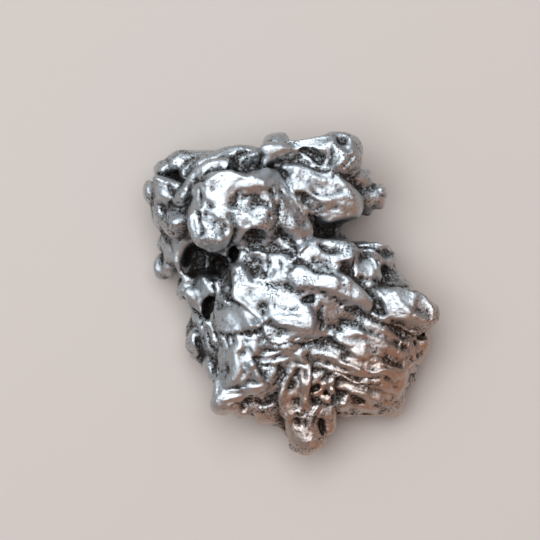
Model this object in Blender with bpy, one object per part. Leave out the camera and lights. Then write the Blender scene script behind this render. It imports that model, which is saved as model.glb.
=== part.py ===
"""An iron meteorite: one lump of nickel-iron, the size of a palm, lying on its broad side.

The lump is modelled as it formed, from masses of metal run together. Round lumps are ellipsoids, ridges
are tubes swept along curves, and both are fused by a voxel remesh. Hollows and clefts are cut out of the
fused metal, knobs and dents are scattered over its flanks and underside, the whole is softened, and the
underside is worn flat where it rests.

The plan frame has +X to the right, +Y away and +Z up. Every place and size below is in millimetres, at
the lump's real size, with z = 0 on the surface that it rests on.
"""

import math
import random
from collections import namedtuple

import bmesh
import bpy
from mathutils import Euler, Matrix, Vector
from mathutils.bvhtree import BVHTree

MM = 0.001

VOXEL = 0.55
SOFTENING_PASSES = 2
TRIANGLES = 9300
SPHERE_SUBDIVISIONS = 3
TUBE_SIDES_RESOLUTION = 3
CURVE_STEPS = 5
FLOOR_BLOCK = (80.0, 80.0, 20.0)

# Knobs and dents sit where rays towards the heart of the lump meet its skin. The rays are spread evenly
# round the lump, from nearly straight up at its underside to just below the level.
HEART = (-1.0, 0.0, 9.0)
RAY_START = 60.0
RAYS = 110
RAY_HEIGHTS = (-0.97, -0.05)
GOLDEN_ANGLE = math.pi * (3.0 - math.sqrt(5.0))
KNOB_HALF = (1.3, 2.9)
KNOB_RISE = 0.42
DENT_EVERY = 3
DENT_HALF = (0.9, 1.7)
STRETCH = (1.0, 1.6)
SEED = 11

METAL_COLOUR = (0.46, 0.455, 0.45, 1.0)
METAL_ROUGHNESS = 0.32

# A lump or hollow is an ellipsoid: its centre, its half sizes and its turn about X, Y and Z in degrees. A
# fullness above 2 swells it towards a box with round edges.
Lump = namedtuple("Lump", "name centre half turn fullness", defaults=((0, 0, 0), 2.0))
# A ridge or cleft is a tube: its points are (x, y, z, radius).
Ridge = namedtuple("Ridge", "name points")

MASSES = (
    Lump("belly", (0.5, -4.5, 8.2), (17.0, 15.5, 9.0)),
    Lump("waist mass", (-3.0, 5.0, 8.6), (12.6, 9.0, 9.0)),
    Lump("upper mass", (-8.6, 14.0, 9.2), (14.4, 10.4, 10.0)),
    Lump("right mass", (12.0, -6.0, 7.6), (11.0, 12.0, 8.4)),
    Lump("slope mass", (12.5, -11.0, 7.0), (9.0, 10.0, 8.0)),
    Lump("block mass", (4.2, 18.6, 9.8), (8.0, 7.2, 10.4)),
    Lump("face mass", (-3.0, -1.5, 11.0), (8.6, 12.0, 8.8)),
    Lump("centre mass", (3.5, 0.5, 11.0), (9.5, 8.6, 8.6)),
    Lump("low left mass", (-13.8, -1.8, 5.4), (4.0, 9.4, 6.0), (0, 0, 8)),
    Lump("low front mass", (0.5, -15.5, 5.6), (8.0, 8.0, 6.4)),
    Lump("horn root", (-8.2, -14.8, 7.6), (3.6, 5.0, 6.4)),
)

CROWN = (
    Lump("crown", (-9.4, 14.6, 16.8), (7.4, 6.2, 7.4), (0, 0, 0), 3.5),
    Lump("crown left boss", (-13.5, 11.4, 19.6), (4.1, 4.2, 4.8), (0, 0, 0), 2.4),
    Lump("crown top boss", (-10.2, 18.0, 21.4), (5.2, 2.5, 3.5), (0, 0, 0), 3.0),
    Ridge(
        "shoulder",
        ((-4.2, 19.0, 20.6, 1.8), (-2.6, 16.4, 20.2, 2.1), (-0.3, 13.5, 19.2, 2.3), (1.2, 10.9, 18.0, 2.4)),
    ),
    Ridge(
        "crown rim",
        (
            (-17.4, 18.3, 18.6, 1.0),
            (-15.0, 20.2, 20.2, 1.1),
            (-12.4, 21.5, 20.4, 1.1),
            (-10.4, 22.2, 19.8, 1.0),
        ),
    ),
    Ridge(
        "back slope",
        (
            (-17.6, 20.4, 15.6, 1.7),
            (-14.0, 22.0, 16.8, 2.0),
            (-10.0, 22.9, 17.2, 1.9),
            (-5.8, 23.4, 17.0, 1.6),
        ),
    ),
)

BLOCK = (
    Lump("block", (3.9, 17.3, 14.4), (8.0, 4.1, 5.4), (8, 9, -25), 4.0),
    Lump("block corner", (8.6, 15.5, 13.8), (2.7, 2.6, 4.6), (8, 12, -10), 3.0),
    Lump("block step", (3.0, 14.6, 16.2), (2.8, 1.4, 3.0), (0, 0, -44)),
    Lump("step bed", (2.4, 16.2, 15.4), (2.0, 1.7, 3.6), (0, 0, -40)),
    Lump("block head", (-0.9, 20.7, 17.2), (1.6, 1.2, 3.2), (0, 0, 0), 3.0),
    Lump("tongue", (-0.2, 22.8, 17.2), (3.1, 1.7, 2.6), (0, 0, -18), 3.0),
    Lump("arm bed", (3.6, 22.8, 15.2), (3.4, 2.4, 3.8), (0, 0, 0), 3.0),
    Lump("knob", (8.3, 24.0, 16.2), (3.5, 3.5, 4.4), (0, 0, 0), 2.4),
    Lump("knob root", (8.4, 21.8, 16.4), (3.1, 2.6, 4.2)),
    Lump("back knob", (-2.2, 25.6, 14.6), (2.4, 1.9, 4.0)),
    Ridge(
        "arm",
        ((-4.0, 24.2, 19.4, 1.4), (-1.5, 24.6, 19.6, 1.1), (2.5, 24.6, 19.2, 1.2), (6.2, 24.6, 18.4, 2.0)),
    ),
    Lump("arm pier", (-3.6, 22.8, 15.6), (2.4, 2.2, 4.0)),
    Ridge("arm root", ((-3.7, 24.8, 19.8, 1.0), (-3.7, 22.8, 19.6, 0.9), (-5.2, 21.6, 19.4, 0.9))),
    Ridge("bridge", ((9.8, 19.6, 16.0, 1.3), (11.6, 20.0, 15.4, 1.2), (12.8, 19.4, 14.6, 1.1))),
    Lump("bridge bead", (12.6, 20.6, 13.2), (1.1, 1.1, 1.8)),
    Lump("cluster root", (12.0, 17.0, 11.0), (2.6, 3.4, 4.6), (0, 0, 20)),
    Lump("cluster bead", (14.9, 17.2, 12.2), (1.3, 1.9, 3.0), (0, 0, 10)),
    Ridge("cluster rib", ((12.0, 18.0, 14.6, 0.8), (13.4, 16.4, 14.2, 0.8), (14.8, 15.0, 12.6, 1.0))),
    Ridge("cluster tail", ((12.0, 15.6, 12.6, 1.0), (13.2, 14.2, 11.6, 0.9), (13.1, 13.1, 10.8, 0.8))),
)

LEFT_SHOULDER = (
    Lump("facet", (-21.3, 17.0, 12.4), (2.5, 3.2, 5.6), (0, 0, 15)),
    Lump("outer bead", (-24.4, 17.4, 10.0), (1.2, 2.0, 3.4)),
    Lump("outer rib", (-22.8, 13.8, 9.6), (1.5, 3.5, 5.4), (0, 0, 12)),
    Lump("corner bead", (-22.2, 21.0, 12.0), (1.5, 1.4, 3.4)),
    Lump("back bead", (-19.6, 22.2, 12.6), (2.4, 1.8, 3.6), (0, 0, 30)),
    Ridge("back crest", ((-18.6, 22.7, 14.2, 1.4), (-16.4, 23.2, 14.6, 1.3), (-13.8, 23.6, 14.4, 1.1))),
    Ridge("facet crest", ((-23.0, 19.5, 15.6, 0.9), (-21.4, 18.9, 16.6, 0.9), (-19.8, 18.4, 17.2, 0.9))),
    Lump("side lobe", (-18.3, 16.6, 16.0), (1.8, 2.2, 4.4), (0, 0, -15)),
    Lump("hanging lobe", (-19.7, 12.0, 13.0), (2.5, 3.1, 5.6), (0, 0, -10)),
    Lump("lower bead", (-21.1, 7.8, 7.4), (1.3, 2.4, 4.2)),
    Lump("low bead", (-21.1, 4.9, 5.0), (1.6, 2.0, 3.6)),
    Lump("flank root", (-17.6, 8.6, 7.0), (4.0, 4.6, 7.0)),
)

LEFT_FLANK = (
    Ridge(
        "cave rim",
        (
            (-18.0, 9.2, 13.6, 0.8),
            (-19.3, 7.2, 12.4, 0.7),
            (-19.4, 5.0, 11.6, 0.7),
            (-18.6, 3.3, 11.0, 0.7),
            (-17.0, 2.5, 10.6, 0.7),
        ),
    ),
    Lump("claw", (-17.0, -0.3, 8.2), (1.6, 2.6, 3.6), (0, 0, 15)),
    Lump("cave tooth", (-14.1, 1.0, 10.0), (1.0, 2.0, 3.2), (0, 0, 20)),
    Ridge("wall rib", ((-12.0, 1.8, 13.0, 0.7), (-11.9, -0.6, 12.2, 0.7), (-11.9, -3.6, 10.4, 0.8))),
    Lump("wall bead", (-13.1, -7.0, 7.6), (1.5, 2.8, 4.0)),
    Lump("outer flap", (-16.1, -7.6, 5.0), (1.2, 4.0, 4.4)),
    Lump("flap fold", (-14.4, -9.8, 5.2), (1.3, 2.6, 4.0), (0, 0, 15)),
    Ridge(
        "flank rim",
        ((-19.0, 1.8, 6.0, 0.9), (-18.9, 0.0, 6.2, 0.9), (-18.0, -2.2, 6.4, 0.9), (-16.4, -4.2, 6.8, 0.9)),
    ),
)

FACE = (
    Lump("face plateau", (-4.4, -0.9, 13.2), (7.0, 8.2, 5.6), (0, 0, 0), 3.0),
    Lump("neck", (-7.6, 3.0, 15.8), (3.4, 3.8, 4.2)),
    Lump("upper face", (3.0, 7.0, 16.2), (3.8, 2.9, 4.6)),
    Lump("upper face right", (8.0, 6.6, 15.0), (4.0, 3.1, 4.8)),
    Ridge(
        "first finger",
        (
            (-1.4, 3.2, 18.4, 1.9),
            (3.0, 2.6, 18.8, 2.3),
            (7.0, 1.6, 18.6, 2.3),
            (10.4, -0.4, 17.8, 1.9),
            (12.7, -1.9, 17.0, 1.5),
        ),
    ),
    Lump("middle lobe", (0.4, -3.8, 17.0), (4.7, 3.7, 4.0), (0, 0, -12)),
    Ridge("wedge", ((-9.6, -3.4, 16.8, 2.1), (-8.0, -3.6, 17.2, 2.2), (-6.2, -4.2, 16.8, 1.3))),
    Ridge("wall edge", ((-10.0, 4.2, 17.4, 1.2), (-10.2, 0.6, 17.6, 1.2), (-10.4, -2.6, 16.8, 1.2))),
    Ridge("wall tail", ((-10.6, -5.2, 15.2, 1.2), (-10.8, -7.6, 14.6, 1.1), (-10.4, -8.8, 14.2, 0.9))),
    Ridge(
        "diagonal rib",
        ((-9.2, 0.8, 19.2, 0.8), (-7.4, -1.2, 19.2, 0.8), (-5.1, -3.8, 18.8, 0.8), (-3.0, -8.0, 17.6, 0.9)),
    ),
)

RIGHT_SIDE = (
    Lump("cup", (12.8, 5.0, 12.2), (3.5, 3.9, 4.8)),
    Ridge(
        "cup rim",
        ((12.4, 8.2, 13.6, 1.0), (14.4, 8.0, 13.6, 1.0), (16.4, 6.5, 13.6, 1.0), (16.8, 4.4, 13.2, 0.9)),
    ),
    Lump("cup root", (14.0, 4.4, 8.0), (3.4, 4.4, 6.0)),
    Ridge(
        "second finger",
        (
            (15.8, -0.9, 15.0, 1.9),
            (18.0, -2.0, 15.2, 2.6),
            (20.8, -3.0, 14.6, 2.8),
            (22.6, -3.9, 13.6, 2.1),
        ),
    ),
    Lump("pocket bed", (15.0, -1.8, 12.4), (1.5, 2.2, 2.8)),
    Lump("finger tip bead", (24.1, -3.6, 11.4), (1.1, 1.9, 3.4)),
    Lump("right low bead", (22.3, -8.4, 7.4), (1.6, 2.4, 4.2)),
    Lump("right foot bead", (20.4, -12.0, 6.2), (1.3, 2.2, 3.8)),
)

LOWER_LEFT = (
    Ridge(
        "horn",
        (
            (-8.4, -9.4, 15.0, 2.2),
            (-9.2, -12.6, 14.2, 2.4),
            (-10.4, -15.8, 13.0, 2.5),
            (-10.9, -18.0, 12.2, 2.5),
        ),
    ),
    Lump("horn plateau", (-7.4, -13.6, 11.0), (3.6, 4.2, 5.2), (0, 4, -14), 3.0),
    Lump("horn shelf", (-3.0, -12.8, 12.2), (2.8, 2.6, 3.2), (0, 0, 30), 3.0),
    Ridge("horn crest", ((-7.8, -9.8, 16.0, 1.4), (-6.4, -12.8, 15.6, 1.5), (-4.6, -15.0, 14.4, 1.5))),
    Ridge(
        "horn lip",
        (
            (-11.4, -19.0, 12.6, 1.2),
            (-8.0, -17.2, 13.4, 1.0),
            (-4.6, -16.8, 13.6, 1.0),
            (-2.2, -14.4, 14.2, 0.9),
            (0.2, -11.8, 14.8, 0.8),
        ),
    ),
    Lump("under horn bead", (-8.4, -20.1, 9.0), (1.9, 1.5, 3.2)),
    Ridge("under horn rib", ((-7.0, -19.0, 9.6, 1.4), (-4.4, -19.6, 10.0, 1.3), (-2.4, -19.2, 10.2, 1.4))),
    Lump("low front bead", (-3.4, -20.8, 5.6), (3.4, 2.2, 4.6)),
)

FOOT = (
    Ridge(
        "foot",
        (
            (0.2, -13.0, 12.4, 3.2),
            (1.0, -17.0, 11.4, 3.0),
            (2.0, -21.0, 10.0, 3.0),
            (3.0, -24.9, 8.2, 3.0),
        ),
    ),
    Ridge("foot left rib", ((-1.8, -12.2, 15.2, 1.1), (-1.3, -16.0, 14.0, 1.1), (-0.4, -20.0, 12.6, 1.1))),
    Ridge("foot right rib", ((2.5, -12.4, 15.4, 1.1), (2.5, -16.0, 14.6, 1.1), (2.4, -21.0, 12.6, 1.1))),
    Ridge("foot lobe", ((3.8, -19.6, 12.2, 1.5), (6.0, -20.6, 11.0, 1.7), (6.5, -22.4, 9.6, 1.5))),
    Lump("foot root", (3.0, -20.0, 5.4), (4.6, 5.4, 5.6)),
)

SLOPE = (
    Lump("upper slope plate", (15.4, -8.2, 11.6), (5.2, 3.4, 2.6), (12, 16, -20), 4.0),
    Lump("ledge bed", (6.4, -8.8, 12.6), (3.2, 1.8, 2.4)),
    Ridge("upper slope rib", ((5.6, -7.0, 15.6, 1.0), (9.0, -7.8, 15.2, 1.0), (12.4, -8.6, 14.6, 1.0))),
    Ridge(
        "middle slope rib",
        (
            (3.4, -10.8, 15.0, 1.3),
            (7.0, -11.7, 14.6, 1.3),
            (11.0, -12.9, 13.8, 1.3),
            (15.4, -13.8, 12.0, 1.3),
            (18.2, -15.0, 9.8, 1.3),
        ),
    ),
    Ridge("lower slope rib", ((9.6, -16.6, 12.6, 0.9), (12.4, -17.2, 11.8, 0.9), (15.2, -18.0, 10.0, 1.0))),
    Lump("slope bead", (8.8, -18.6, 11.0), (1.9, 1.5, 2.6)),
    Ridge(
        "front edge",
        ((8.6, -19.6, 7.4, 1.3), (12.0, -20.2, 7.0, 1.3), (15.6, -19.8, 6.6, 1.3), (17.6, -18.6, 6.6, 1.2)),
    ),
)

METAL = MASSES + CROWN + BLOCK + LEFT_SHOULDER + LEFT_FLANK + FACE + RIGHT_SIDE + LOWER_LEFT + FOOT + SLOPE

HOLLOWS = (
    Lump("side notch", (12.6, 11.4, 10.0), (3.7, 2.0, 16.0), (0, 0, 10)),
    Lump("notch end", (7.0, 10.9, 15.4), (4.0, 1.3, 5.4), (0, 0, 20)),
    Lump("bowl", (-7.8, 21.9, 19.8), (2.4, 2.1, 2.6)),
    Ridge("arm hollow", ((1.8, 23.7, 20.1, 0.9), (3.4, 23.1, 19.8, 1.0), (4.8, 22.5, 19.6, 0.9))),
    Lump("upper cave", (-16.5, 5.5, 12.4), (2.2, 2.7, 6.6), (0, 0, 0), 2.5),
    Lump("right cave", (-13.0, 4.6, 12.4), (2.3, 2.1, 6.8), (0, 0, 0), 2.5),
    Lump("lower cave", (-13.6, -2.6, 10.4), (1.4, 1.9, 4.2)),
    Lump("saddle hollow", (-6.3, 8.9, 21.4), (2.3, 2.1, 2.8)),
    Lump("finger pit", (2.6, -1.0, 19.2), (1.3, 0.8, 1.0), (0, 0, 0), 3.0),
    Lump("cave branch", (-9.8, 6.6, 15.4), (1.1, 1.9, 5.0), (0, 0, -25)),
    Lump("crumb hole", (5.5, -16.0, 16.0), (2.0, 2.7, 1.8), (0, 0, -8), 3.0),
    Lump("foot slit", (5.2, -22.8, 11.4), (0.5, 1.6, 2.4)),
    Lump("knob pit", (8.5, 25.6, 20.6), (1.3, 0.9, 1.0), (0, 0, -15)),
    Lump("cup hole", (16.2, 3.4, 13.8), (0.7, 1.4, 2.4), (0, 0, 10)),
    Ridge(
        "block cleft",
        ((-2.9, 21.3, 19.8, 0.8), (-1.3, 18.6, 20.0, 0.8), (0.2, 16.0, 19.6, 0.8), (3.4, 12.3, 17.8, 1.0)),
    ),
    Ridge(
        "finger shadow",
        ((4.6, -0.9, 18.4, 0.8), (8.0, -1.9, 18.0, 0.8), (11.4, -3.6, 17.2, 0.8), (13.8, -4.3, 16.2, 0.7)),
    ),
    Lump("crown dish", (-7.4, 15.4, 24.9), (3.2, 2.1, 2.0)),
    Ridge("crown trough", ((-14.6, 13.2, 24.4, 1.1), (-13.0, 12.2, 24.6, 1.2), (-11.6, 10.2, 23.8, 1.1))),
    Ridge("crown crease", ((-10.2, 12.8, 24.2, 0.9), (-9.6, 10.2, 23.6, 0.9), (-11.3, 6.8, 21.4, 0.9))),
    Ridge("cup groove", ((12.8, 7.2, 16.4, 0.7), (15.4, 5.0, 16.0, 0.7))),
    Lump("lobe hollow", (8.2, -5.4, 17.6), (2.6, 1.0, 1.8), (0, 0, -10)),
    Lump("slope hollow", (6.6, -8.8, 16.6), (2.8, 0.9, 1.6), (0, 0, -10)),
    Ridge("upper groove", ((13.0, -6.4, 15.7, 1.0), (17.0, -7.8, 14.7, 1.0), (20.6, -9.6, 12.3, 1.0))),
    Ridge("middle groove", ((8.6, -9.8, 15.9, 1.0), (13.0, -10.8, 15.2, 1.0), (18.6, -12.4, 12.9, 1.0))),
    Ridge("slope cleft", ((6.4, -13.0, 15.4, 0.9), (10.0, -14.8, 14.4, 1.0), (14.6, -15.8, 13.6, 0.9))),
    Ridge("tip shadow", ((13.8, -4.6, 15.2, 0.7), (18.0, -6.4, 13.4, 0.7), (22.4, -7.7, 11.0, 0.7))),
)


def ellipsoid(bm, lump):
    """Adds a lump to the mesh as a swelled, scaled and turned icosphere."""
    made = bmesh.ops.create_icosphere(bm, subdivisions=SPHERE_SUBDIVISIONS, radius=1.0)
    for vertex in made["verts"]:
        vertex.co /= sum(abs(part) ** lump.fullness for part in vertex.co) ** (1 / lump.fullness)
    turn = Euler([math.radians(angle) for angle in lump.turn]).to_matrix().to_4x4()
    place = Matrix.Translation(Vector(lump.centre) * MM)
    size = Matrix.Diagonal([half * MM for half in lump.half] + [1.0])
    bmesh.ops.transform(bm, matrix=place @ turn @ size, verts=made["verts"])


def tube(bm, ridge):
    """Adds a ridge to the mesh: a bevelled curve through its points, with a ball at each end."""
    curve = bpy.data.curves.new(ridge.name, "CURVE")
    curve.dimensions = "3D"
    curve.bevel_depth = MM
    curve.bevel_resolution = TUBE_SIDES_RESOLUTION
    curve.resolution_u = CURVE_STEPS
    curve.use_fill_caps = True
    spline = curve.splines.new("BEZIER")
    spline.bezier_points.add(len(ridge.points) - 1)
    for knot, (x, y, z, radius) in zip(spline.bezier_points, ridge.points):
        knot.co = Vector((x, y, z)) * MM
        knot.radius = radius
        knot.handle_left_type = "AUTO"
        knot.handle_right_type = "AUTO"
    guide = bpy.data.objects.new(ridge.name, curve)
    bpy.context.scene.collection.objects.link(guide)
    bpy.context.view_layer.update()
    swept = bpy.data.meshes.new_from_object(guide.evaluated_get(bpy.context.evaluated_depsgraph_get()))
    bm.from_mesh(swept)
    bpy.data.objects.remove(guide)
    bpy.data.meshes.remove(swept)
    for x, y, z, radius in (ridge.points[0], ridge.points[-1]):
        ellipsoid(bm, Lump(ridge.name, (x, y, z), (radius, radius, radius)))


def raw_object(name, forms):
    """An object whose mesh holds every form, still overlapping."""
    bm = bmesh.new()
    for form in forms:
        if isinstance(form, Lump):
            ellipsoid(bm, form)
        else:
            tube(bm, form)
    mesh = bpy.data.meshes.new(name)
    bm.to_mesh(mesh)
    bm.free()
    made = bpy.data.objects.new(name, mesh)
    bpy.context.scene.collection.objects.link(made)
    return made


def add_remesh(target, voxel):
    """Fuses overlapping shapes into one skin."""
    remesh = target.modifiers.new("Fuse", "REMESH")
    remesh.mode = "VOXEL"
    remesh.voxel_size = voxel * MM


def add_softening(target, passes):
    """Rounds the creases where shapes meet."""
    soften = target.modifiers.new("Soften", "SMOOTH")
    soften.factor = 0.5
    soften.iterations = passes


def add_cut(target, cutter):
    """Cuts another object out of the target, and keeps that object as a hidden guide."""
    cut = target.modifiers.new("Cut " + cutter.name, "BOOLEAN")
    cut.operation = "DIFFERENCE"
    cut.solver = "EXACT"
    cut.object = cutter
    cutter.hide_render = True
    cutter.display_type = "WIRE"


def evaluated_mesh(target):
    """The target's mesh with its modifiers applied."""
    bpy.context.view_layer.update()
    return bpy.data.meshes.new_from_object(target.evaluated_get(bpy.context.evaluated_depsgraph_get()))


def baked(target):
    """Replaces the target's mesh and modifiers by the result."""
    mesh = evaluated_mesh(target)
    target.modifiers.clear()
    target.data = mesh
    return mesh


def knobs_and_dents(skin):
    """Small knobs and dents for the flanks and the underside of the skin, in that order."""
    chance = random.Random(SEED)
    tree = BVHTree.FromPolygons([v.co for v in skin.vertices], [p.vertices for p in skin.polygons])
    heart = Vector(HEART) * MM
    low, high = RAY_HEIGHTS
    knobs = []
    dents = []
    for index in range(RAYS):
        height = low + (high - low) * index / (RAYS - 1)
        across = math.sqrt(1.0 - height * height)
        angle = index * GOLDEN_ANGLE
        outward = Vector((across * math.cos(angle), across * math.sin(angle), height))
        place, normal, _, _ = tree.ray_cast(heart + outward * RAY_START * MM, -outward)
        turn = [math.degrees(angle) for angle in normal.to_track_quat("Z", "Y").to_euler()]
        stretch = chance.uniform(*STRETCH)
        if index % DENT_EVERY:
            wide = chance.uniform(*KNOB_HALF)
            knobs.append(Lump("knob", place / MM, (wide, wide * stretch, wide * KNOB_RISE), turn))
        else:
            wide = chance.uniform(*DENT_HALF)
            dents.append(Lump("dent", place / MM, (wide, wide * stretch, wide), turn))
    return knobs, dents


def floor_block():
    """The block below z = 0 that wears the underside flat."""
    bm = bmesh.new()
    made = bmesh.ops.create_cube(bm, size=1.0)
    size = Matrix.Diagonal([side * MM for side in FLOOR_BLOCK] + [1.0])
    drop = Matrix.Translation((0.0, 0.0, -FLOOR_BLOCK[2] / 2 * MM))
    bmesh.ops.transform(bm, matrix=drop @ size, verts=made["verts"])
    mesh = bpy.data.meshes.new("floor_block")
    bm.to_mesh(mesh)
    bm.free()
    made = bpy.data.objects.new("floor_block", mesh)
    bpy.context.scene.collection.objects.link(made)
    return made


def centre_on_floor(mesh):
    """Moves the mesh so that its box stands on z = 0, centred on the origin."""
    xs, ys, zs = zip(*(vertex.co for vertex in mesh.vertices))
    centre = Vector(((min(xs) + max(xs)) / 2, (min(ys) + max(ys)) / 2, min(zs)))
    mesh.transform(Matrix.Translation(-centre))


def metal_material():
    """Bare nickel-iron, rubbed bright."""
    metal = bpy.data.materials.new("nickel_iron")
    metal.use_nodes = True
    shader = metal.node_tree.nodes["Principled BSDF"]
    shader.inputs["Base Color"].default_value = METAL_COLOUR
    shader.inputs["Metallic"].default_value = 1.0
    shader.inputs["Roughness"].default_value = METAL_ROUGHNESS
    return metal


def meteorite():
    """The whole lump, as one solid."""
    masses = raw_object("masses", METAL)
    add_remesh(masses, VOXEL)
    knobs, dents = knobs_and_dents(evaluated_mesh(masses))
    bpy.data.objects.remove(masses)
    lump = raw_object("meteorite", METAL + tuple(knobs))
    add_remesh(lump, VOXEL)
    hollows = raw_object("hollows", HOLLOWS + tuple(dents))
    add_remesh(hollows, VOXEL)
    add_cut(lump, hollows)
    add_remesh(lump, VOXEL)
    add_softening(lump, SOFTENING_PASSES)
    fused = baked(lump)
    thin = lump.modifiers.new("Thin out", "DECIMATE")
    thin.ratio = TRIANGLES / (2 * len(fused.polygons))
    add_cut(lump, floor_block())
    mesh = baked(lump)
    centre_on_floor(mesh)
    mesh.materials.clear()
    mesh.materials.append(metal_material())
    mesh.shade_smooth()
    return lump


def main():
    for thing in list(bpy.data.objects):
        bpy.data.objects.remove(thing)
    meteorite()


main()
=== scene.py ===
"""The look of an iron meteorite: nickel-iron rubbed bright, with dark hollows and a trace of rust.

The lump is sculpted in three stages. Its masses, bosses, ridges and hollows are laid down as a field of
distances to the skin, so that they run into each other as molten metal does. The field is meshed, facets
flatten the skin in places, and strokes that follow it add the folds, creases and pits. Last comes the
natural unevenness of the metal, from seeded noise. All places and sizes of forms are in millimetres in
the plan frame: +X to the right, +Y away, +Z up, with z = 0 where the lump rests.
"""

import itertools
import math
import random
from collections import namedtuple

import bpy
import numpy as np
from bpy.props import FloatProperty, FloatVectorProperty, IntProperty, PointerProperty
from mathutils import Euler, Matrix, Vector


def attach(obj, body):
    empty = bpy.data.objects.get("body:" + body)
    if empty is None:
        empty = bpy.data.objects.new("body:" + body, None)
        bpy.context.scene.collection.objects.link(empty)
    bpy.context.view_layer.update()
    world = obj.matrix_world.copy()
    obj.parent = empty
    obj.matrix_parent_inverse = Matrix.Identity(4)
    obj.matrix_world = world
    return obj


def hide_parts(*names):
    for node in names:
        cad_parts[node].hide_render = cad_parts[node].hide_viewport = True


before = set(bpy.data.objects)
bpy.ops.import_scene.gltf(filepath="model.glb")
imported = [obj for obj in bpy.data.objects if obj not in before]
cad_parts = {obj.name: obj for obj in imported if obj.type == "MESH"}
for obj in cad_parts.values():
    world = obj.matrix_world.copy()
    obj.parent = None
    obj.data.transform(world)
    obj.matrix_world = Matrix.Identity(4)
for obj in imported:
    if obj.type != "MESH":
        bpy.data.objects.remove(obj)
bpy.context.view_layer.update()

bl_info = {
    "name": "Iron meteorite",
    "version": (1, 0, 0),
    "blender": (4, 5, 0),
    "location": "3D View > Sidebar > Meteorite",
    "description": "Sculpts an iron meteorite and sets it on a plain stage",
    "category": "Object",
}

MM = 0.001

# A lump or hollow is an ellipsoid: its centre, its half sizes and its turn about X, Y and Z in degrees.
# A fullness above 2 swells it towards a box with round edges.
Lump = namedtuple("Lump", "name centre half turn fullness", defaults=((0, 0, 0), 2.0))
# A ridge or cleft is a tube: its points are (x, y, z, radius).
Ridge = namedtuple("Ridge", "name points")
# A stroke follows the skin under its plan points (x, y). It raises the skin by rise, or sinks it where
# rise is below zero, out to a width on either side. A sharp of 1 gives it a keen edge, 0 a round one.
Stroke = namedtuple("Stroke", "points width rise sharp", defaults=(0.0,))
# A ledge raises the skin on the left of its path and sinks it on the right, with a drop between them.
Ledge = namedtuple("Ledge", "points width rise")
# A facet flattens the skin within its plan outline. Its slope is the rise per millimetre along X and
# along Y, and lift is how far its middle stands above the skin that was there.
Facet = namedtuple("Facet", "outline slope lift", defaults=(0.0,))

MASSES = (
    Lump("belly", (0.5, -4.5, 8.2), (17.0, 15.5, 9.0)),
    Lump("waist mass", (-3.0, 5.0, 8.6), (12.6, 9.0, 9.0)),
    Lump("upper mass", (-8.6, 14.0, 9.2), (14.4, 10.4, 10.0)),
    Lump("right mass", (12.0, -6.0, 7.6), (11.0, 12.0, 8.4)),
    Lump("slope mass", (12.5, -11.0, 7.0), (9.0, 10.0, 8.0)),
    Lump("block mass", (4.2, 18.6, 9.8), (8.0, 7.2, 10.4)),
    Lump("face mass", (-3.0, -1.5, 11.0), (8.6, 12.0, 8.8)),
    Lump("centre mass", (3.5, 0.5, 11.0), (9.5, 8.6, 8.6)),
    Lump("low left mass", (-13.8, -1.8, 5.4), (4.0, 9.4, 6.0), (0, 0, 8)),
    Lump("low front mass", (0.5, -15.5, 5.6), (8.0, 8.0, 6.4)),
    Lump("horn root", (-8.2, -14.8, 7.6), (3.6, 5.0, 6.4)),
)

CROWN = (
    Lump("crown", (-9.4, 14.6, 16.8), (7.4, 6.2, 7.4), (0, 0, 0), 3.5),
    Lump("crown left boss", (-13.5, 11.4, 19.6), (4.1, 4.2, 4.8), (0, 0, 0), 2.4),
    Lump("crown top boss", (-10.2, 18.0, 21.4), (5.2, 2.5, 3.5), (0, 0, 0), 3.0),
    Ridge(
        "shoulder",
        (
            (-4.2, 19.0, 20.6, 1.8), (-2.6, 16.4, 20.2, 2.1), (-0.3, 13.5, 19.2, 2.3),
            (1.2, 10.9, 18.0, 2.4),
        ),
    ),
    Ridge(
        "crown rim",
        (
            (-17.4, 18.3, 18.6, 1.0), (-15.0, 20.2, 20.2, 1.1), (-12.4, 21.5, 20.4, 1.1),
            (-10.4, 22.2, 19.8, 1.0),
        ),
    ),
    Ridge(
        "back slope",
        (
            (-17.6, 20.4, 15.6, 1.7), (-14.0, 22.0, 16.8, 2.0), (-10.0, 22.9, 17.2, 1.9),
            (-5.8, 23.4, 17.0, 1.6),
        ),
    ),
)

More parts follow.
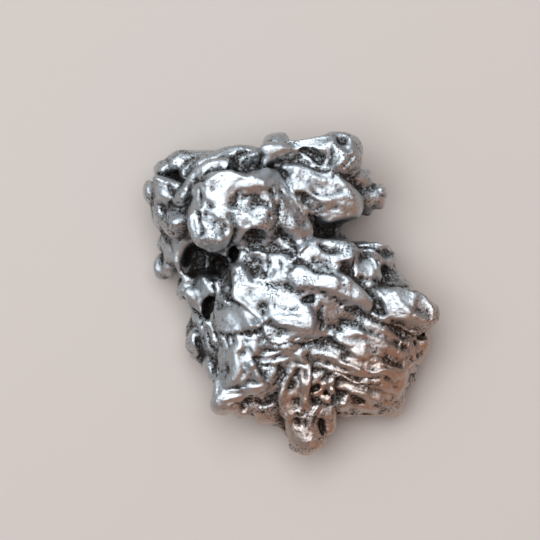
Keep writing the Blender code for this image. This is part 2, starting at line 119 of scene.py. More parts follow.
BLOCK = (
    Lump("block", (3.9, 17.3, 14.4), (8.0, 4.1, 5.4), (8, 9, -25), 4.0),
    Lump("block corner", (8.6, 15.5, 13.8), (2.7, 2.6, 4.6), (8, 12, -10), 3.0),
    Lump("block step", (3.0, 14.6, 16.2), (2.8, 1.4, 3.0), (0, 0, -44)),
    Lump("step bed", (2.4, 16.2, 16.2), (2.0, 1.8, 3.6), (0, 0, -40)),
    Lump("block head", (-0.9, 20.7, 17.2), (1.6, 1.2, 3.2), (0, 0, 0), 3.0),
    Lump("tongue", (-0.2, 22.8, 17.2), (3.1, 1.7, 2.6), (0, 0, -18), 3.0),
    Lump("arm bed", (3.6, 22.8, 15.2), (3.4, 2.4, 3.8), (0, 0, 0), 3.0),
    Lump("knob", (8.3, 24.0, 16.2), (3.5, 3.5, 4.4), (0, 0, 0), 2.4),
    Lump("knob root", (8.4, 21.8, 16.4), (3.1, 2.6, 4.2)),
    Lump("back knob", (-2.2, 25.6, 14.6), (2.4, 1.9, 4.0)),
    Ridge(
        "arm",
        (
            (-4.0, 24.2, 19.4, 1.4), (-1.5, 24.6, 19.6, 1.1), (2.5, 24.6, 19.2, 1.2),
            (6.2, 24.6, 18.4, 2.0),
        ),
    ),
    Lump("arm pier", (-3.6, 22.8, 15.6), (2.4, 2.2, 4.0)),
    Ridge("arm root", ((-3.7, 24.8, 19.8, 1.0), (-3.7, 22.8, 19.6, 0.9), (-5.2, 21.6, 19.4, 0.9))),
    Ridge("bridge", ((9.8, 19.6, 16.0, 1.3), (11.6, 20.0, 15.4, 1.2), (12.8, 19.4, 14.6, 1.1))),
    Lump("bridge bead", (12.6, 20.6, 13.2), (1.1, 1.1, 1.8)),
    Lump("cluster root", (12.0, 17.0, 11.0), (2.6, 3.4, 4.6), (0, 0, 20)),
    Lump("cluster bead", (14.9, 17.2, 12.2), (1.3, 1.9, 3.0), (0, 0, 10)),
    Ridge("cluster rib", ((12.0, 18.0, 14.6, 0.8), (13.4, 16.4, 14.2, 0.8), (14.8, 15.0, 12.6, 1.0))),
    Ridge("cluster tail", ((12.0, 15.6, 12.6, 1.0), (13.2, 14.2, 11.6, 0.9), (13.1, 13.1, 10.8, 0.8))),
)

LEFT_SHOULDER = (
    Lump("facet", (-21.3, 17.0, 12.4), (2.5, 3.2, 5.6), (0, 0, 15)),
    Lump("outer bead", (-24.4, 17.4, 10.0), (1.2, 2.0, 3.4)),
    Lump("outer rib", (-22.8, 13.8, 9.6), (1.5, 3.5, 5.4), (0, 0, 12)),
    Lump("corner bead", (-22.2, 21.0, 12.0), (1.5, 1.4, 3.4)),
    Lump("back bead", (-19.6, 22.2, 12.6), (2.4, 1.8, 3.6), (0, 0, 30)),
    Ridge("back crest", ((-18.6, 22.7, 14.2, 1.4), (-16.4, 23.2, 14.6, 1.3), (-13.8, 23.6, 14.4, 1.1))),
    Ridge("facet crest", ((-23.0, 19.5, 15.6, 0.9), (-21.4, 18.9, 16.6, 0.9), (-19.8, 18.4, 17.2, 0.9))),
    Lump("side lobe", (-18.3, 16.6, 16.0), (1.8, 2.2, 4.4), (0, 0, -15)),
    Lump("hanging lobe", (-19.7, 12.0, 13.0), (2.5, 3.1, 5.6), (0, 0, -10)),
    Lump("lower bead", (-21.1, 7.8, 7.4), (1.3, 2.4, 4.2)),
    Lump("low bead", (-21.1, 4.9, 5.0), (1.6, 2.0, 3.6)),
    Lump("flank root", (-17.6, 8.6, 7.0), (4.0, 4.6, 7.0)),
)

LEFT_FLANK = (
    Ridge(
        "cave rim",
        (
            (-18.0, 9.2, 13.6, 0.8), (-19.3, 7.2, 12.4, 0.7), (-19.4, 5.0, 11.6, 0.7),
            (-18.6, 3.3, 11.0, 0.7), (-17.0, 2.5, 10.6, 0.7),
        ),
    ),
    Lump("claw", (-17.0, -0.3, 8.2), (1.6, 2.6, 3.6), (0, 0, 15)),
    Lump("cave tooth", (-14.1, 1.0, 10.0), (1.0, 2.0, 3.2), (0, 0, 20)),
    Ridge("wall rib", ((-12.0, 1.8, 13.0, 0.7), (-11.9, -0.6, 12.2, 0.7), (-11.9, -3.6, 10.4, 0.8))),
    Lump("wall bead", (-13.1, -7.0, 7.6), (1.5, 2.8, 4.0)),
    Lump("outer flap", (-16.1, -7.6, 5.0), (1.2, 4.0, 4.4)),
    Lump("flap fold", (-14.4, -9.8, 5.2), (1.3, 2.6, 4.0), (0, 0, 15)),
    Ridge(
        "flank rim",
        (
            (-19.0, 1.8, 6.0, 0.9), (-18.9, 0.0, 6.2, 0.9), (-18.0, -2.2, 6.4, 0.9),
            (-16.4, -4.2, 6.8, 0.9),
        ),
    ),
)

FACE = (
    Lump("face plateau", (-4.4, -0.9, 13.2), (7.0, 8.2, 5.6), (0, 0, 0), 3.0),
    Lump("neck", (-7.6, 3.0, 15.8), (3.4, 3.8, 4.2)),
    Lump("upper face", (3.0, 7.0, 16.2), (3.8, 2.9, 4.6)),
    Lump("upper face right", (8.0, 6.6, 15.0), (4.0, 3.1, 4.8)),
    Ridge(
        "first finger",
        (
            (-1.4, 3.2, 18.4, 1.9), (3.0, 2.6, 18.8, 2.3), (7.0, 1.6, 18.6, 2.3),
            (10.4, -0.4, 17.8, 1.9), (12.7, -1.9, 17.0, 1.5),
        ),
    ),
    Lump("middle lobe", (0.4, -3.8, 17.0), (4.7, 3.7, 4.0), (0, 0, -12)),
    Lump("lobe toe", (2.3, -5.3, 16.6), (2.8, 2.0, 3.4), (0, 0, -30)),
    Ridge("wedge", ((-9.6, -3.4, 16.8, 2.1), (-8.0, -3.6, 17.2, 2.2), (-6.2, -4.2, 16.8, 1.3))),
    Ridge("wall edge", ((-10.0, 4.2, 17.4, 1.2), (-10.2, 0.6, 17.6, 1.2), (-10.4, -2.6, 16.8, 1.2))),
    Ridge("wall tail", ((-10.6, -5.2, 15.2, 1.2), (-10.8, -7.6, 14.6, 1.1), (-10.4, -8.8, 14.2, 0.9))),
    Ridge(
        "diagonal rib",
        (
            (-9.2, 0.8, 19.2, 0.8), (-7.4, -1.2, 19.2, 0.8), (-5.1, -3.8, 18.8, 0.8),
            (-3.0, -8.0, 17.6, 0.9),
        ),
    ),
)

RIGHT_SIDE = (
    Lump("cup", (12.8, 5.0, 12.2), (3.5, 3.9, 4.8)),
    Ridge(
        "cup rim",
        ((12.4, 8.2, 13.6, 1.0), (14.4, 8.0, 13.6, 1.0), (16.4, 6.5, 13.6, 1.0), (16.8, 4.4, 13.2, 0.9)),
    ),
    Lump("cup root", (14.0, 4.4, 8.0), (3.4, 4.4, 6.0)),
    Lump("cup bed", (10.9, 4.0, 14.2), (2.0, 3.4, 3.4)),
    Lump("cup foot", (13.0, 1.2, 13.4), (2.4, 1.8, 3.2)),
    Ridge(
        "second finger",
        (
            (15.8, -0.9, 15.0, 1.9), (18.0, -2.0, 15.2, 2.6), (20.8, -3.0, 14.6, 2.8),
            (22.6, -3.9, 13.6, 2.1),
        ),
    ),
    Lump("finger heel", (20.8, -5.0, 13.4), (2.8, 1.6, 2.8), (0, 0, -15)),
    Lump("pocket bed", (14.8, -1.4, 13.8), (1.5, 2.4, 2.8)),
    Lump("finger tip bead", (24.1, -3.6, 11.4), (1.1, 1.9, 3.4)),
    Lump("right low bead", (22.3, -8.4, 7.4), (1.6, 2.4, 4.2)),
    Lump("right foot bead", (20.4, -12.0, 6.2), (1.3, 2.2, 3.8)),
)

LOWER_LEFT = (
    Ridge(
        "horn",
        (
            (-8.6, -9.4, 15.0, 2.2), (-9.4, -12.6, 14.2, 2.5), (-10.6, -15.8, 13.0, 2.6),
            (-11.2, -18.5, 12.0, 2.6),
        ),
    ),
    Lump("horn plateau", (-7.4, -13.6, 11.0), (3.6, 4.2, 5.2), (0, 4, -14), 3.0),
    Lump("horn shelf", (-3.0, -12.8, 12.2), (2.8, 2.6, 3.2), (0, 0, 30), 3.0),
    Ridge("horn crest", ((-7.8, -9.8, 16.0, 1.4), (-6.4, -12.8, 15.6, 1.5), (-4.6, -15.0, 14.4, 1.5))),
    Ridge(
        "horn lip",
        (
            (-11.4, -19.0, 12.6, 1.2), (-8.0, -17.2, 13.4, 1.0), (-4.6, -16.8, 13.6, 1.0),
            (-2.2, -14.4, 14.2, 0.9), (0.2, -11.8, 14.8, 0.8),
        ),
    ),
    Lump("under horn bead", (-8.4, -20.1, 9.0), (1.9, 1.5, 3.2)),
    Ridge(
        "under horn rib",
        ((-7.0, -19.0, 9.6, 1.4), (-4.4, -19.6, 10.0, 1.3), (-2.4, -19.2, 10.2, 1.4)),
    ),
    Lump("low front bead", (-3.4, -20.8, 5.6), (3.4, 2.2, 4.6)),
)

FOOT = (
    Ridge(
        "foot",
        (
            (0.2, -13.0, 12.4, 3.2), (1.0, -17.0, 11.4, 3.0), (2.0, -21.0, 10.0, 3.0),
            (3.0, -24.9, 8.2, 3.0),
        ),
    ),
    Ridge(
        "foot left rib",
        ((-1.8, -12.2, 15.2, 1.1), (-1.3, -16.0, 14.0, 1.1), (-0.4, -20.0, 12.6, 1.1)),
    ),
    Ridge("foot right rib", ((2.5, -12.4, 15.4, 1.1), (2.5, -16.0, 14.6, 1.1), (2.4, -21.0, 12.6, 1.1))),
    Lump("foot tip", (2.9, -25.0, 8.4), (2.9, 2.5, 3.4)),
    Ridge("foot lobe", ((3.8, -19.6, 12.2, 1.5), (6.0, -20.6, 11.0, 1.7), (6.5, -22.4, 9.6, 1.5))),
    Lump("foot root", (3.0, -20.0, 5.4), (4.6, 5.4, 5.6)),
)

SLOPE = (
    Lump("upper slope plate", (15.4, -8.2, 11.6), (5.2, 3.4, 2.6), (12, 16, -20), 4.0),
    Lump("ledge bed", (6.4, -8.8, 12.6), (3.2, 1.8, 2.4)),
    Ridge("upper slope rib", ((5.6, -7.0, 15.6, 1.0), (9.0, -7.8, 15.2, 1.0), (12.4, -8.6, 14.6, 1.0))),
    Ridge(
        "middle slope rib",
        (
            (3.4, -10.8, 15.0, 1.3), (7.0, -11.7, 14.6, 1.3), (11.0, -12.9, 13.8, 1.3),
            (15.4, -13.8, 12.0, 1.3), (18.2, -15.0, 9.8, 1.3),
        ),
    ),
    Ridge(
        "lower slope rib",
        ((9.6, -16.6, 12.6, 0.9), (12.4, -17.2, 11.8, 0.9), (15.2, -18.0, 10.0, 1.0)),
    ),
    Lump("slope bead", (8.8, -18.6, 11.0), (1.9, 1.5, 2.6)),
    Ridge(
        "front edge",
        (
            (8.6, -19.6, 7.4, 1.3), (12.0, -20.2, 7.0, 1.3), (15.6, -19.8, 6.6, 1.3),
            (17.6, -18.6, 6.6, 1.2),
        ),
    ),
)

METAL = (
    MASSES + CROWN + BLOCK + LEFT_SHOULDER + LEFT_FLANK + FACE + RIGHT_SIDE + LOWER_LEFT + FOOT + SLOPE
)

HOLLOWS = (
    Lump("side notch", (12.6, 11.4, 10.0), (3.7, 2.0, 16.0), (0, 0, 10)),
    Lump("notch end", (7.0, 10.9, 15.4), (4.0, 1.3, 5.4), (0, 0, 20)),
    Lump("bowl", (-7.8, 21.9, 19.8), (2.4, 2.1, 2.6)),
    Ridge("arm hollow", ((1.8, 23.7, 20.1, 0.8), (3.4, 23.1, 19.8, 1.0), (4.8, 22.5, 19.6, 0.8))),
    Lump("upper cave", (-16.5, 5.5, 12.4), (2.2, 2.7, 6.6), (0, 0, 0), 2.5),
    Lump("right cave", (-13.0, 4.6, 12.4), (2.3, 2.1, 6.8), (0, 0, 0), 2.5),
    Ridge(
        "cave passage",
        (
            (-17.2, 6.0, 13.4, 1.4), (-15.0, 5.6, 15.4, 1.8), (-13.0, 4.0, 13.0, 1.6),
            (-12.5, 2.4, 12.4, 1.0),
        ),
    ),
    Ridge(
        "flank cleft",
        (
            (-12.6, 1.8, 13.4, 0.6), (-13.3, -1.6, 12.8, 0.8), (-13.2, -4.4, 12.3, 0.9),
            (-12.5, -8.6, 11.4, 0.5),
        ),
    ),
    Lump("flank cave", (-13.9, -2.6, 10.4), (1.3, 2.4, 3.6), (0, 0, -20)),
    Ridge("claw gap", ((-18.4, 0.4, 9.6, 0.4), (-17.2, -2.8, 9.4, 0.6), (-15.2, -4.9, 10.8, 0.7))),
    Lump("saddle hollow", (-6.3, 8.9, 21.4), (2.3, 2.1, 2.8)),
    Lump("finger pit", (2.6, -1.0, 19.2), (1.3, 0.8, 0.8), (0, 0, 0), 3.0),
    Lump("cave branch", (-9.8, 6.6, 15.4), (1.1, 1.9, 5.0), (0, 0, -25)),
    Lump("crumb hole", (5.5, -16.0, 16.0), (2.0, 2.7, 1.8), (0, 0, -8), 3.0),
    Lump("foot slit", (5.2, -22.8, 11.4), (0.5, 1.6, 2.4)),
    Lump("knob pit", (8.5, 25.7, 20.4), (1.6, 1.2, 1.5), (0, 0, -15)),
    Lump("cup hole", (16.2, 3.4, 13.8), (0.7, 1.4, 2.4), (0, 0, 10)),
    Ridge("claw notch", ((-16.6, 2.2, 12.2, 0.4), (-15.6, 0.4, 12.4, 0.5), (-15.2, -1.6, 12.0, 0.5))),
    Ridge(
        "block cleft",
        (
            (-2.9, 21.3, 19.6, 0.7), (-1.3, 18.6, 19.8, 0.5), (0.2, 16.0, 19.4, 0.6),
            (3.4, 12.3, 17.6, 0.9),
        ),
    ),
    Ridge(
        "finger shadow",
        (
            (4.6, -0.9, 18.0, 0.6), (8.0, -1.9, 17.6, 0.5), (11.4, -3.6, 17.3, 0.4),
            (13.8, -4.3, 16.4, 0.3),
        ),
    ),
    Ridge("upper groove", ((12.6, -6.0, 16.5, 0.5), (16.0, -7.4, 15.9, 0.7), (20.6, -9.6, 13.2, 0.6))),
    Ridge("middle groove", ((8.6, -9.8, 16.6, 0.6), (13.0, -10.8, 15.9, 0.7), (18.6, -12.4, 13.7, 0.6))),
    Ridge("slope cleft", ((7.4, -13.4, 15.4, 0.6), (10.0, -14.8, 14.8, 0.7), (14.6, -15.8, 14.0, 0.6))),
    Ridge("tip shadow", ((13.8, -4.6, 15.0, 0.4), (18.0, -6.4, 13.2, 0.4), (22.4, -7.7, 10.8, 0.5))),
)

FACETS = (
    # The crown: a bright plateau round a shallow dish.
    Facet(
        (
            (-14.6, 19.4), (-12.6, 20.3), (-10.4, 20.4), (-8.2, 19.3), (-5.2, 19.8), (-3.5, 19.2),
            (-3.8, 17.6), (-6.2, 18.0), (-8.6, 17.8), (-10.4, 15.4), (-11.4, 14.0), (-13.0, 15.6),
            (-14.6, 16.4),
        ),
        (0.06, -0.05),
        0.2,
    ),
    Facet(
        ((-3.6, 17.4), (-2.0, 15.8), (1.4, 11.6), (0.2, 10.4), (-2.6, 11.8), (-3.0, 15.0)),
        (-0.1, 0.1),
        0.1,
    ),
    Facet(
        ((-2.0, 18.4), (3.8, 11.8), (3.6, 10.2), (1.8, 11.2), (-1.8, 15.8), (-3.2, 18.4)),
        (-0.6, -0.1),
        0.0,
    ),
    Facet(
        ((-3.4, 9.6), (-1.2, 10.2), (0.4, 9.8), (-0.4, 7.4), (-1.6, 7.2), (-3.2, 8.4)),
        (-0.05, 0.05),
        0.3,
    ),
    Facet(
        ((-15.4, 19.4), (-13.0, 21.2), (-9.8, 22.4), (-10.2, 21.0), (-12.8, 20.6), (-15.0, 18.8)),
        (0.1, -0.15),
        0.1,
    ),
    Facet(((-9.6, 23.0), (-6.0, 23.8), (-5.6, 21.4), (-7.4, 19.8), (-9.4, 20.4)), (0.2, 0.4), -0.6),
    # The left boss: a blue-grey dish on its outer side and a bright low lobe.
    Facet(((-17.6, 13.6), (-15.8, 13.4), (-15.0, 11.0), (-15.6, 9.0), (-17.4, 9.6)), (0.9, 0.1), -0.2),
    Facet(((-14.6, 10.4), (-12.6, 11.0), (-11.0, 9.6), (-11.6, 8.0), (-13.8, 8.4)), (0.05, -0.12), 0.5),
    # The block: one slab that faces a little right, with steps.
    Facet(((-2.0, 20.6), (-1.2, 21.6), (1.0, 21.5), (1.0, 20.4), (-0.8, 19.9)), (0.1, -0.1), 0.1),
    Facet(
        (
            (1.0, 21.4), (6.6, 19.8), (9.8, 18.2), (10.6, 15.2), (8.6, 15.6), (5.2, 16.2), (2.6, 16.8),
            (0.4, 16.8), (-0.6, 19.4),
        ),
        (-0.24, -0.02),
        0.1,
    ),
    Facet(((1.2, 15.9), (2.4, 16.4), (4.9, 14.6), (4.8, 12.8), (4.0, 12.3)), (-0.2, 0.1), 0.1),
    # The arm, its hollow and the knob.
    Facet(((-2.8, 24.0), (0.4, 23.9), (2.8, 21.8), (1.0, 22.1), (-2.6, 22.3)), (-0.3, 0.3), 0.0),
    Facet(
        ((-2.0, 25.6), (3.0, 25.8), (6.4, 26.4), (6.2, 24.2), (2.4, 24.2), (-0.6, 24.6)),
        (0.05, -0.45),
        0.0,
    ),
    Facet(((5.4, 24.2), (7.4, 24.4), (9.0, 23.6), (8.2, 21.6), (6.6, 21.6)), (0.4, 0.2), 0.0),
    Facet(((9.8, 26.4), (11.6, 24.6), (11.4, 22.4), (10.4, 22.8), (10.2, 25.0)), (-0.9, -0.3), 0.0),
    # The face: the wall, the pitted facet beside it, and the lobes.
    Facet(
        ((-12.4, 4.6), (-10.2, 4.9), (-9.8, 0.0), (-8.6, -1.4), (-10.8, -1.6), (-12.4, 0.0)),
        (0.9, 0.0),
        0.0,
    ),
    Facet(
        (
            (-9.9, 4.9), (-8.5, 4.9), (-7.8, 3.2), (-6.8, 3.0), (-4.8, 0.5), (-4.8, -1.0), (-6.0, -2.2),
            (-9.3, 0.2),
        ),
        (0.02, -0.04),
        0.2,
    ),
    Facet(
        ((-8.6, 6.9), (-5.6, 7.2), (-4.2, 6.0), (-4.6, 3.4), (-6.6, 2.9), (-8.0, 4.4)),
        (0.35, 0.6),
        -0.6,
    ),
    Facet(((-3.6, 5.4), (-2.0, 6.6), (-1.2, 5.8), (-2.0, 4.2), (-4.0, 2.8)), (0.3, 0.05), 0.0),
    Facet(((-1.4, 6.2), (0.4, 5.4), (0.2, 4.2), (-1.2, 3.2), (-1.8, 4.4)), (0.1, -0.25), 0.1),
    Facet(
        (
            (-4.6, 0.7), (-1.8, 0.9), (0.9, 0.2), (1.5, -1.7), (2.6, -2.4), (3.8, -4.8), (3.2, -6.2),
            (1.0, -6.6), (-0.4, -5.4), (-2.2, -5.3), (-4.2, -3.9), (-3.6, -2.2), (-4.8, -1.2),
        ),
        (0.05, 0.0),
        0.2,
    ),
    Facet(
        (
            (3.0, -2.0), (4.4, -3.2), (4.6, -5.6), (6.4, -7.0), (3.4, -7.6), (1.0, -7.8), (3.4, -6.3),
            (4.0, -4.8),
        ),
        (-0.45, 0.2),
        0.0,
    ),
    Facet(
        ((-12.2, -1.9), (-8.6, -1.6), (-7.4, -3.0), (-6.2, -5.4), (-7.8, -6.2), (-12.2, -6.8)),
        (1.0, -0.3),
        0.0,
    ),
    Facet(((-7.6, -2.2), (-5.4, -3.9), (-5.0, -5.2), (-6.2, -5.0), (-7.2, -3.2)), (0.1, 0.1), 0.0),
    Facet(((-7.0, -6.2), (-4.9, -5.2), (-4.0, -7.8), (-5.4, -8.2)), (0.1, 0.6), -0.5),
    Facet(
        (
            (1.2, 6.0), (3.8, 8.4), (4.8, 7.0), (7.2, 6.4), (8.2, 4.4), (7.6, 3.2), (4.2, 3.4),
            (3.6, 4.6), (1.4, 5.2),
        ),
        (0.0, -0.06),
        0.1,
    ),
    Facet(
        ((4.9, 8.8), (8.6, 9.4), (10.6, 8.6), (10.2, 6.2), (8.2, 5.4), (7.2, 6.6), (5.0, 7.0)),
        (-0.1, -0.35),
        0.0,
    ),
    Facet(
        ((-0.6, 2.8), (1.0, 4.3), (3.6, 3.2), (7.8, 2.9), (7.6, 0.8), (3.4, 1.1), (0.6, 0.9)),
        (-0.02, 0.05),
        0.2,
    ),
    Facet(
        ((8.0, 3.0), (9.6, 2.8), (13.4, -0.8), (13.6, -2.0), (12.4, -2.0), (9.6, -0.4), (7.8, 0.6)),
        (-0.2, 0.0),
        0.1,
    ),
    # The right side: the cup and the second finger.
    Facet(
        ((11.9, 6.6), (13.2, 6.8), (15.0, 4.8), (15.2, 2.5), (12.6, 2.4), (11.1, 4.2)),
        (-0.55, -0.5),
        -0.3,
    ),
    Facet(((13.5, 8.0), (14.3, 7.8), (16.4, 5.8), (15.7, 5.1), (14.0, 6.7)), (0.0, 0.05), 0.3),
    Facet(
        ((10.4, 8.6), (13.2, 9.2), (16.4, 7.8), (17.6, 6.4), (16.2, 5.8), (13.4, 8.0), (12.0, 8.0)),
        (-0.45, 0.1),
        0.0,
    ),
    Facet(
        (
            (16.5, -1.1), (17.4, -1.0), (18.8, -3.0), (20.4, -4.5), (18.0, -4.8), (15.6, -4.4),
            (16.3, -2.6),
        ),
        (0.0, -0.16),
        0.4,
    ),
    Facet(((17.6, 0.6), (20.0, 0.4), (20.4, -3.0), (19.2, -2.8), (17.9, -1.0)), (-0.55, -0.3), 0.0),
    Facet(
        ((19.9, 0.3), (21.8, 0.0), (23.2, -2.4), (23.2, -4.2), (21.2, -3.2), (20.5, -3.4)),
        (-0.4, 0.05),
        0.3,
    ),
    Facet(((15.2, -5.0), (20.0, -5.1), (23.6, -5.4), (22.6, -7.0), (18.6, -6.2)), (-0.2, 0.9), 0.0),
    # The slope: long brown facets between low ribs.
    Facet(((7.6, -4.4), (10.8, -4.4), (12.2, -7.0), (11.0, -7.6), (8.0, -6.4)), (0.25, 0.0), -0.1),
    Facet(
        ((6.6, -7.2), (8.6, -6.5), (10.6, -7.6), (12.6, -8.0), (11.0, -9.0), (8.6, -8.2)),
        (-0.1, 0.12),
        0.1,
    ),
    Facet(((4.4, -8.3), (7.6, -8.0), (9.2, -9.4), (7.8, -10.6), (4.8, -10.2)), (0.05, -0.15), -0.1),
    Facet(
        ((10.0, -9.4), (16.6, -9.2), (19.4, -11.4), (19.0, -12.6), (14.0, -12.4), (11.0, -11.4)),
        (-0.4, 0.3),
        0.0,
    ),
    Facet(
        (
            (8.2, -11.3), (11.0, -12.0), (14.0, -13.0), (17.8, -13.4), (18.0, -14.8), (13.6, -14.4),
            (10.4, -13.4),
        ),
        (-0.2, 0.12),
        0.1,
    ),
    Facet(
        ((12.0, -14.8), (18.6, -15.2), (19.6, -16.4), (18.0, -17.8), (14.8, -17.2), (12.4, -16.2)),
        (-0.5, 0.5),
        0.0,
    ),
    Facet(((10.2, -16.5), (12.6, -16.8), (15.2, -17.8), (14.4, -18.3), (11.4, -17.7)), (-0.1, 0.1), 0.2),
    Facet(
        ((9.8, -18.0), (14.0, -18.8), (17.8, -18.0), (17.0, -19.8), (12.0, -20.6), (9.6, -19.6)),
        (-0.3, 0.7),
        0.0,
    ),
    # The horn: a grey outer side, bright long facets and a dish.
    Facet(
        (
            (-11.9, -9.2), (-10.0, -9.6), (-10.2, -13.6), (-11.2, -16.0), (-12.4, -17.4), (-13.4, -17.0),
            (-12.6, -12.8),
        ),
        (0.6, 0.05),
        0.1,
    ),
    Facet(
        ((-10.0, -10.0), (-8.0, -9.6), (-7.6, -11.6), (-8.4, -13.8), (-9.6, -15.8), (-10.6, -15.0)),
        (0.08, -0.02),
        0.2,
    ),
    Facet(((-8.4, -11.0), (-6.8, -11.2), (-6.9, -12.8), (-8.2, -14.4), (-8.8, -13.6)), (0.25, 0.1), 0.1),
    Facet(
        ((-8.6, -16.6), (-7.0, -14.4), (-5.6, -14.4), (-4.2, -16.0), (-6.0, -16.8)),
        (0.0, -0.05),
        0.5,
    ),
    Facet(
        ((-5.2, -11.0), (-0.6, -11.0), (-2.2, -13.4), (-3.4, -15.2), (-3.8, -13.6)),
        (0.05, -0.05),
        0.1,
    ),
    Facet(((-8.6, -18.8), (-6.4, -18.0), (-4.8, -19.2), (-6.6, -20.2), (-8.6, -20.6)), (0.1, 0.5), 0.0),
)

# Crumbs of metal that lie in the hole beside the foot.
CRUMBS = (
    Lump("upper crumb", (4.8, -14.2, 14.6), (1.2, 0.6, 0.9), (25, 0, 20), 3.0),
    Lump("side crumb", (6.7, -15.0, 14.4), (0.7, 1.1, 1.1), (0, 30, -30), 3.0),
    Lump("left crumb", (4.3, -15.6, 14.3), (0.9, 0.5, 1.0), (-25, 15, 10), 3.0),
    Lump("middle crumb", (5.6, -15.9, 14.2), (0.5, 0.8, 1.0), (20, -20, 15), 3.0),
    Lump("low crumb", (4.8, -17.2, 14.2), (1.1, 0.5, 0.9), (10, -25, 15), 3.0),
    Lump("right crumb", (6.8, -16.9, 14.2), (0.6, 0.9, 1.1), (20, 15, 25), 3.0),
    Lump("far crumb", (5.9, -18.3, 13.6), (0.9, 0.6, 0.9), (-15, 0, -25), 3.0),
)

CROWN_STROKES = (
    Stroke(((-8.8, 15.4), (-6.2, 15.6)), 2.6, -0.9),
    Stroke(((-8.8, 16.8), (-7.4, 17.2), (-5.8, 16.6)), 0.9, -0.4, 0.5),
    Stroke(((-8.4, 12.6), (-7.6, 11.2)), 1.2, -0.4),
    Stroke(((-9.2, 13.5), (-8.6, 14.1), (-7.4, 15.3)), 0.6, 0.4),
    Stroke(((-9.8, 14.4), (-9.3, 14.2)), 0.9, -0.6, 1.0),
    Stroke(((-7.0, 14.9), (-5.4, 15.2), (-3.9, 14.8)), 0.7, -0.5, 1.0),
    Stroke(((-8.6, 16.9), (-7.8, 16.0), (-6.6, 16.2)), 0.5, -0.5, 1.0),
    Stroke(((-6.0, 16.6), (-5.0, 15.8)), 0.5, 0.4),
    Stroke(((-8.2, 14.2), (-6.6, 13.9)), 0.5, -0.45, 1.0),
    Stroke(((-6.8, 13.1), (-5.0, 13.3), (-3.6, 12.8)), 0.7, -0.45, 1.0),
    Stroke(((-7.4, 12.6), (-7.6, 11.2)), 0.7, -0.3, 1.0),
    Stroke(((-2.0, 15.2), (-2.3, 12.4), (-3.7, 10.2)), 0.8, -0.7, 1.0),
    Stroke(((-14.4, 13.0), (-13.0, 12.2), (-12.0, 11.2), (-11.4, 9.9)), 1.4, -0.9, 0.4),
    Stroke(((-13.6, 14.9), (-13.2, 14.6)), 1.0, -0.45),
    Stroke(((-15.7, 13.0), (-15.8, 11.5), (-15.2, 10.3)), 1.1, -0.8),
    Stroke(((-16.9, 13.0), (-17.1, 11.4), (-16.6, 9.6)), 0.7, 0.4),
    Stroke(((-10.2, 12.8), (-9.6, 10.2), (-10.2, 8.2), (-11.3, 6.4)), 1.2, -1.1, 0.7),
    Stroke(((-15.4, 17.3), (-15.1, 16.2)), 0.8, -0.7, 1.0),
    Stroke(((-14.5, 17.6), (-14.4, 17.4)), 0.5, -0.8, 1.0),
    Stroke(((-10.6, 19.9), (-9.6, 20.8), (-9.8, 22.6)), 0.8, 0.5),
    Stroke(((-8.7, 7.8), (-7.2, 7.4), (-5.8, 7.6)), 0.6, 0.6),
    Stroke(((-6.6, 7.6), (-5.0, 6.9), (-3.6, 7.3)), 0.8, -0.8, 1.0),
    Stroke(((-3.4, 7.0), (-2.0, 6.6), (-0.8, 7.0)), 0.7, -0.6, 1.0),
    Stroke(((-2.7, 9.6), (-0.9, 7.6)), 1.3, 0.7),
    Stroke(((-4.0, 10.6), (-3.0, 11.0), (-1.8, 10.2), (0.2, 10.6)), 0.6, -0.4, 1.0),
    Stroke(((-3.9, 17.1), (-3.2, 16.8), (-2.4, 16.7)), 0.5, -0.5, 1.0),
    Stroke(((-17.6, 19.9), (-15.2, 21.5), (-11.0, 22.9), (-7.0, 23.9)), 0.7, -0.4, 1.0),
    Stroke(((-16.2, 18.6), (-15.0, 18.6), (-14.4, 20.2)), 0.9, -0.6),
)

BLOCK_STROKES = (
    Stroke(((-2.7, 21.9), (0.0, 22.2), (2.2, 21.4), (4.2, 20.7), (6.3, 20.3)), 0.6, -0.8, 1.0),
    Stroke(((-1.9, 20.6), (-0.8, 20.9), (0.6, 20.9)), 0.9, 0.4),
    Stroke(((-0.6, 19.3), (1.6, 18.8), (3.2, 18.8), (5.6, 18.0)), 0.6, -0.3, 1.0),
    Stroke(((0.4, 16.9), (2.4, 17.2), (3.6, 17.5), (5.6, 16.7), (8.2, 16.8)), 0.6, -0.3, 1.0),
    Stroke(((2.2, 19.8), (5.2, 19.0), (8.8, 17.8)), 0.9, 0.25),
    Stroke(((0.6, 16.8), (2.4, 16.4), (4.6, 15.2), (5.2, 13.6)), 0.7, -0.45, 1.0),
    Stroke(((1.2, 15.8), (2.6, 14.5), (3.8, 13.4)), 0.6, 0.4),
    Stroke(((5.6, 15.2), (6.4, 14.3), (7.8, 14.6)), 0.7, -0.4, 1.0),
    Stroke(((8.2, 15.4), (9.6, 15.0)), 0.6, -0.3, 1.0),
    Stroke(((7.6, 14.9), (8.4, 14.7)), 0.5, 0.3),
    Stroke(((8.7, 13.9), (9.0, 13.3)), 0.5, -0.7, 1.0),
    Stroke(((6.2, 24.4), (6.4, 22.8), (6.2, 21.4)), 0.7, -0.6, 1.0),
    Stroke(((7.2, 20.2), (8.2, 19.5), (9.8, 19.2)), 0.7, -0.8, 1.0),
    Stroke(((8.4, 22.8), (10.3, 23.4)), 0.5, 0.5),
    Stroke(((8.6, 20.6), (10.2, 22.4)), 0.5, -0.7, 1.0),
    Stroke(((9.8, 20.1), (10.9, 20.9)), 0.5, -0.9, 1.0),
    Stroke(((7.6, 21.2), (9.0, 22.4)), 0.5, 0.4),
    Stroke(((8.1, 24.1), (9.6, 24.0)), 0.6, -0.4, 1.0),
    Stroke(((0.2, 24.3), (2.4, 23.4), (4.6, 21.6)), 0.7, -0.4, 1.0),
)

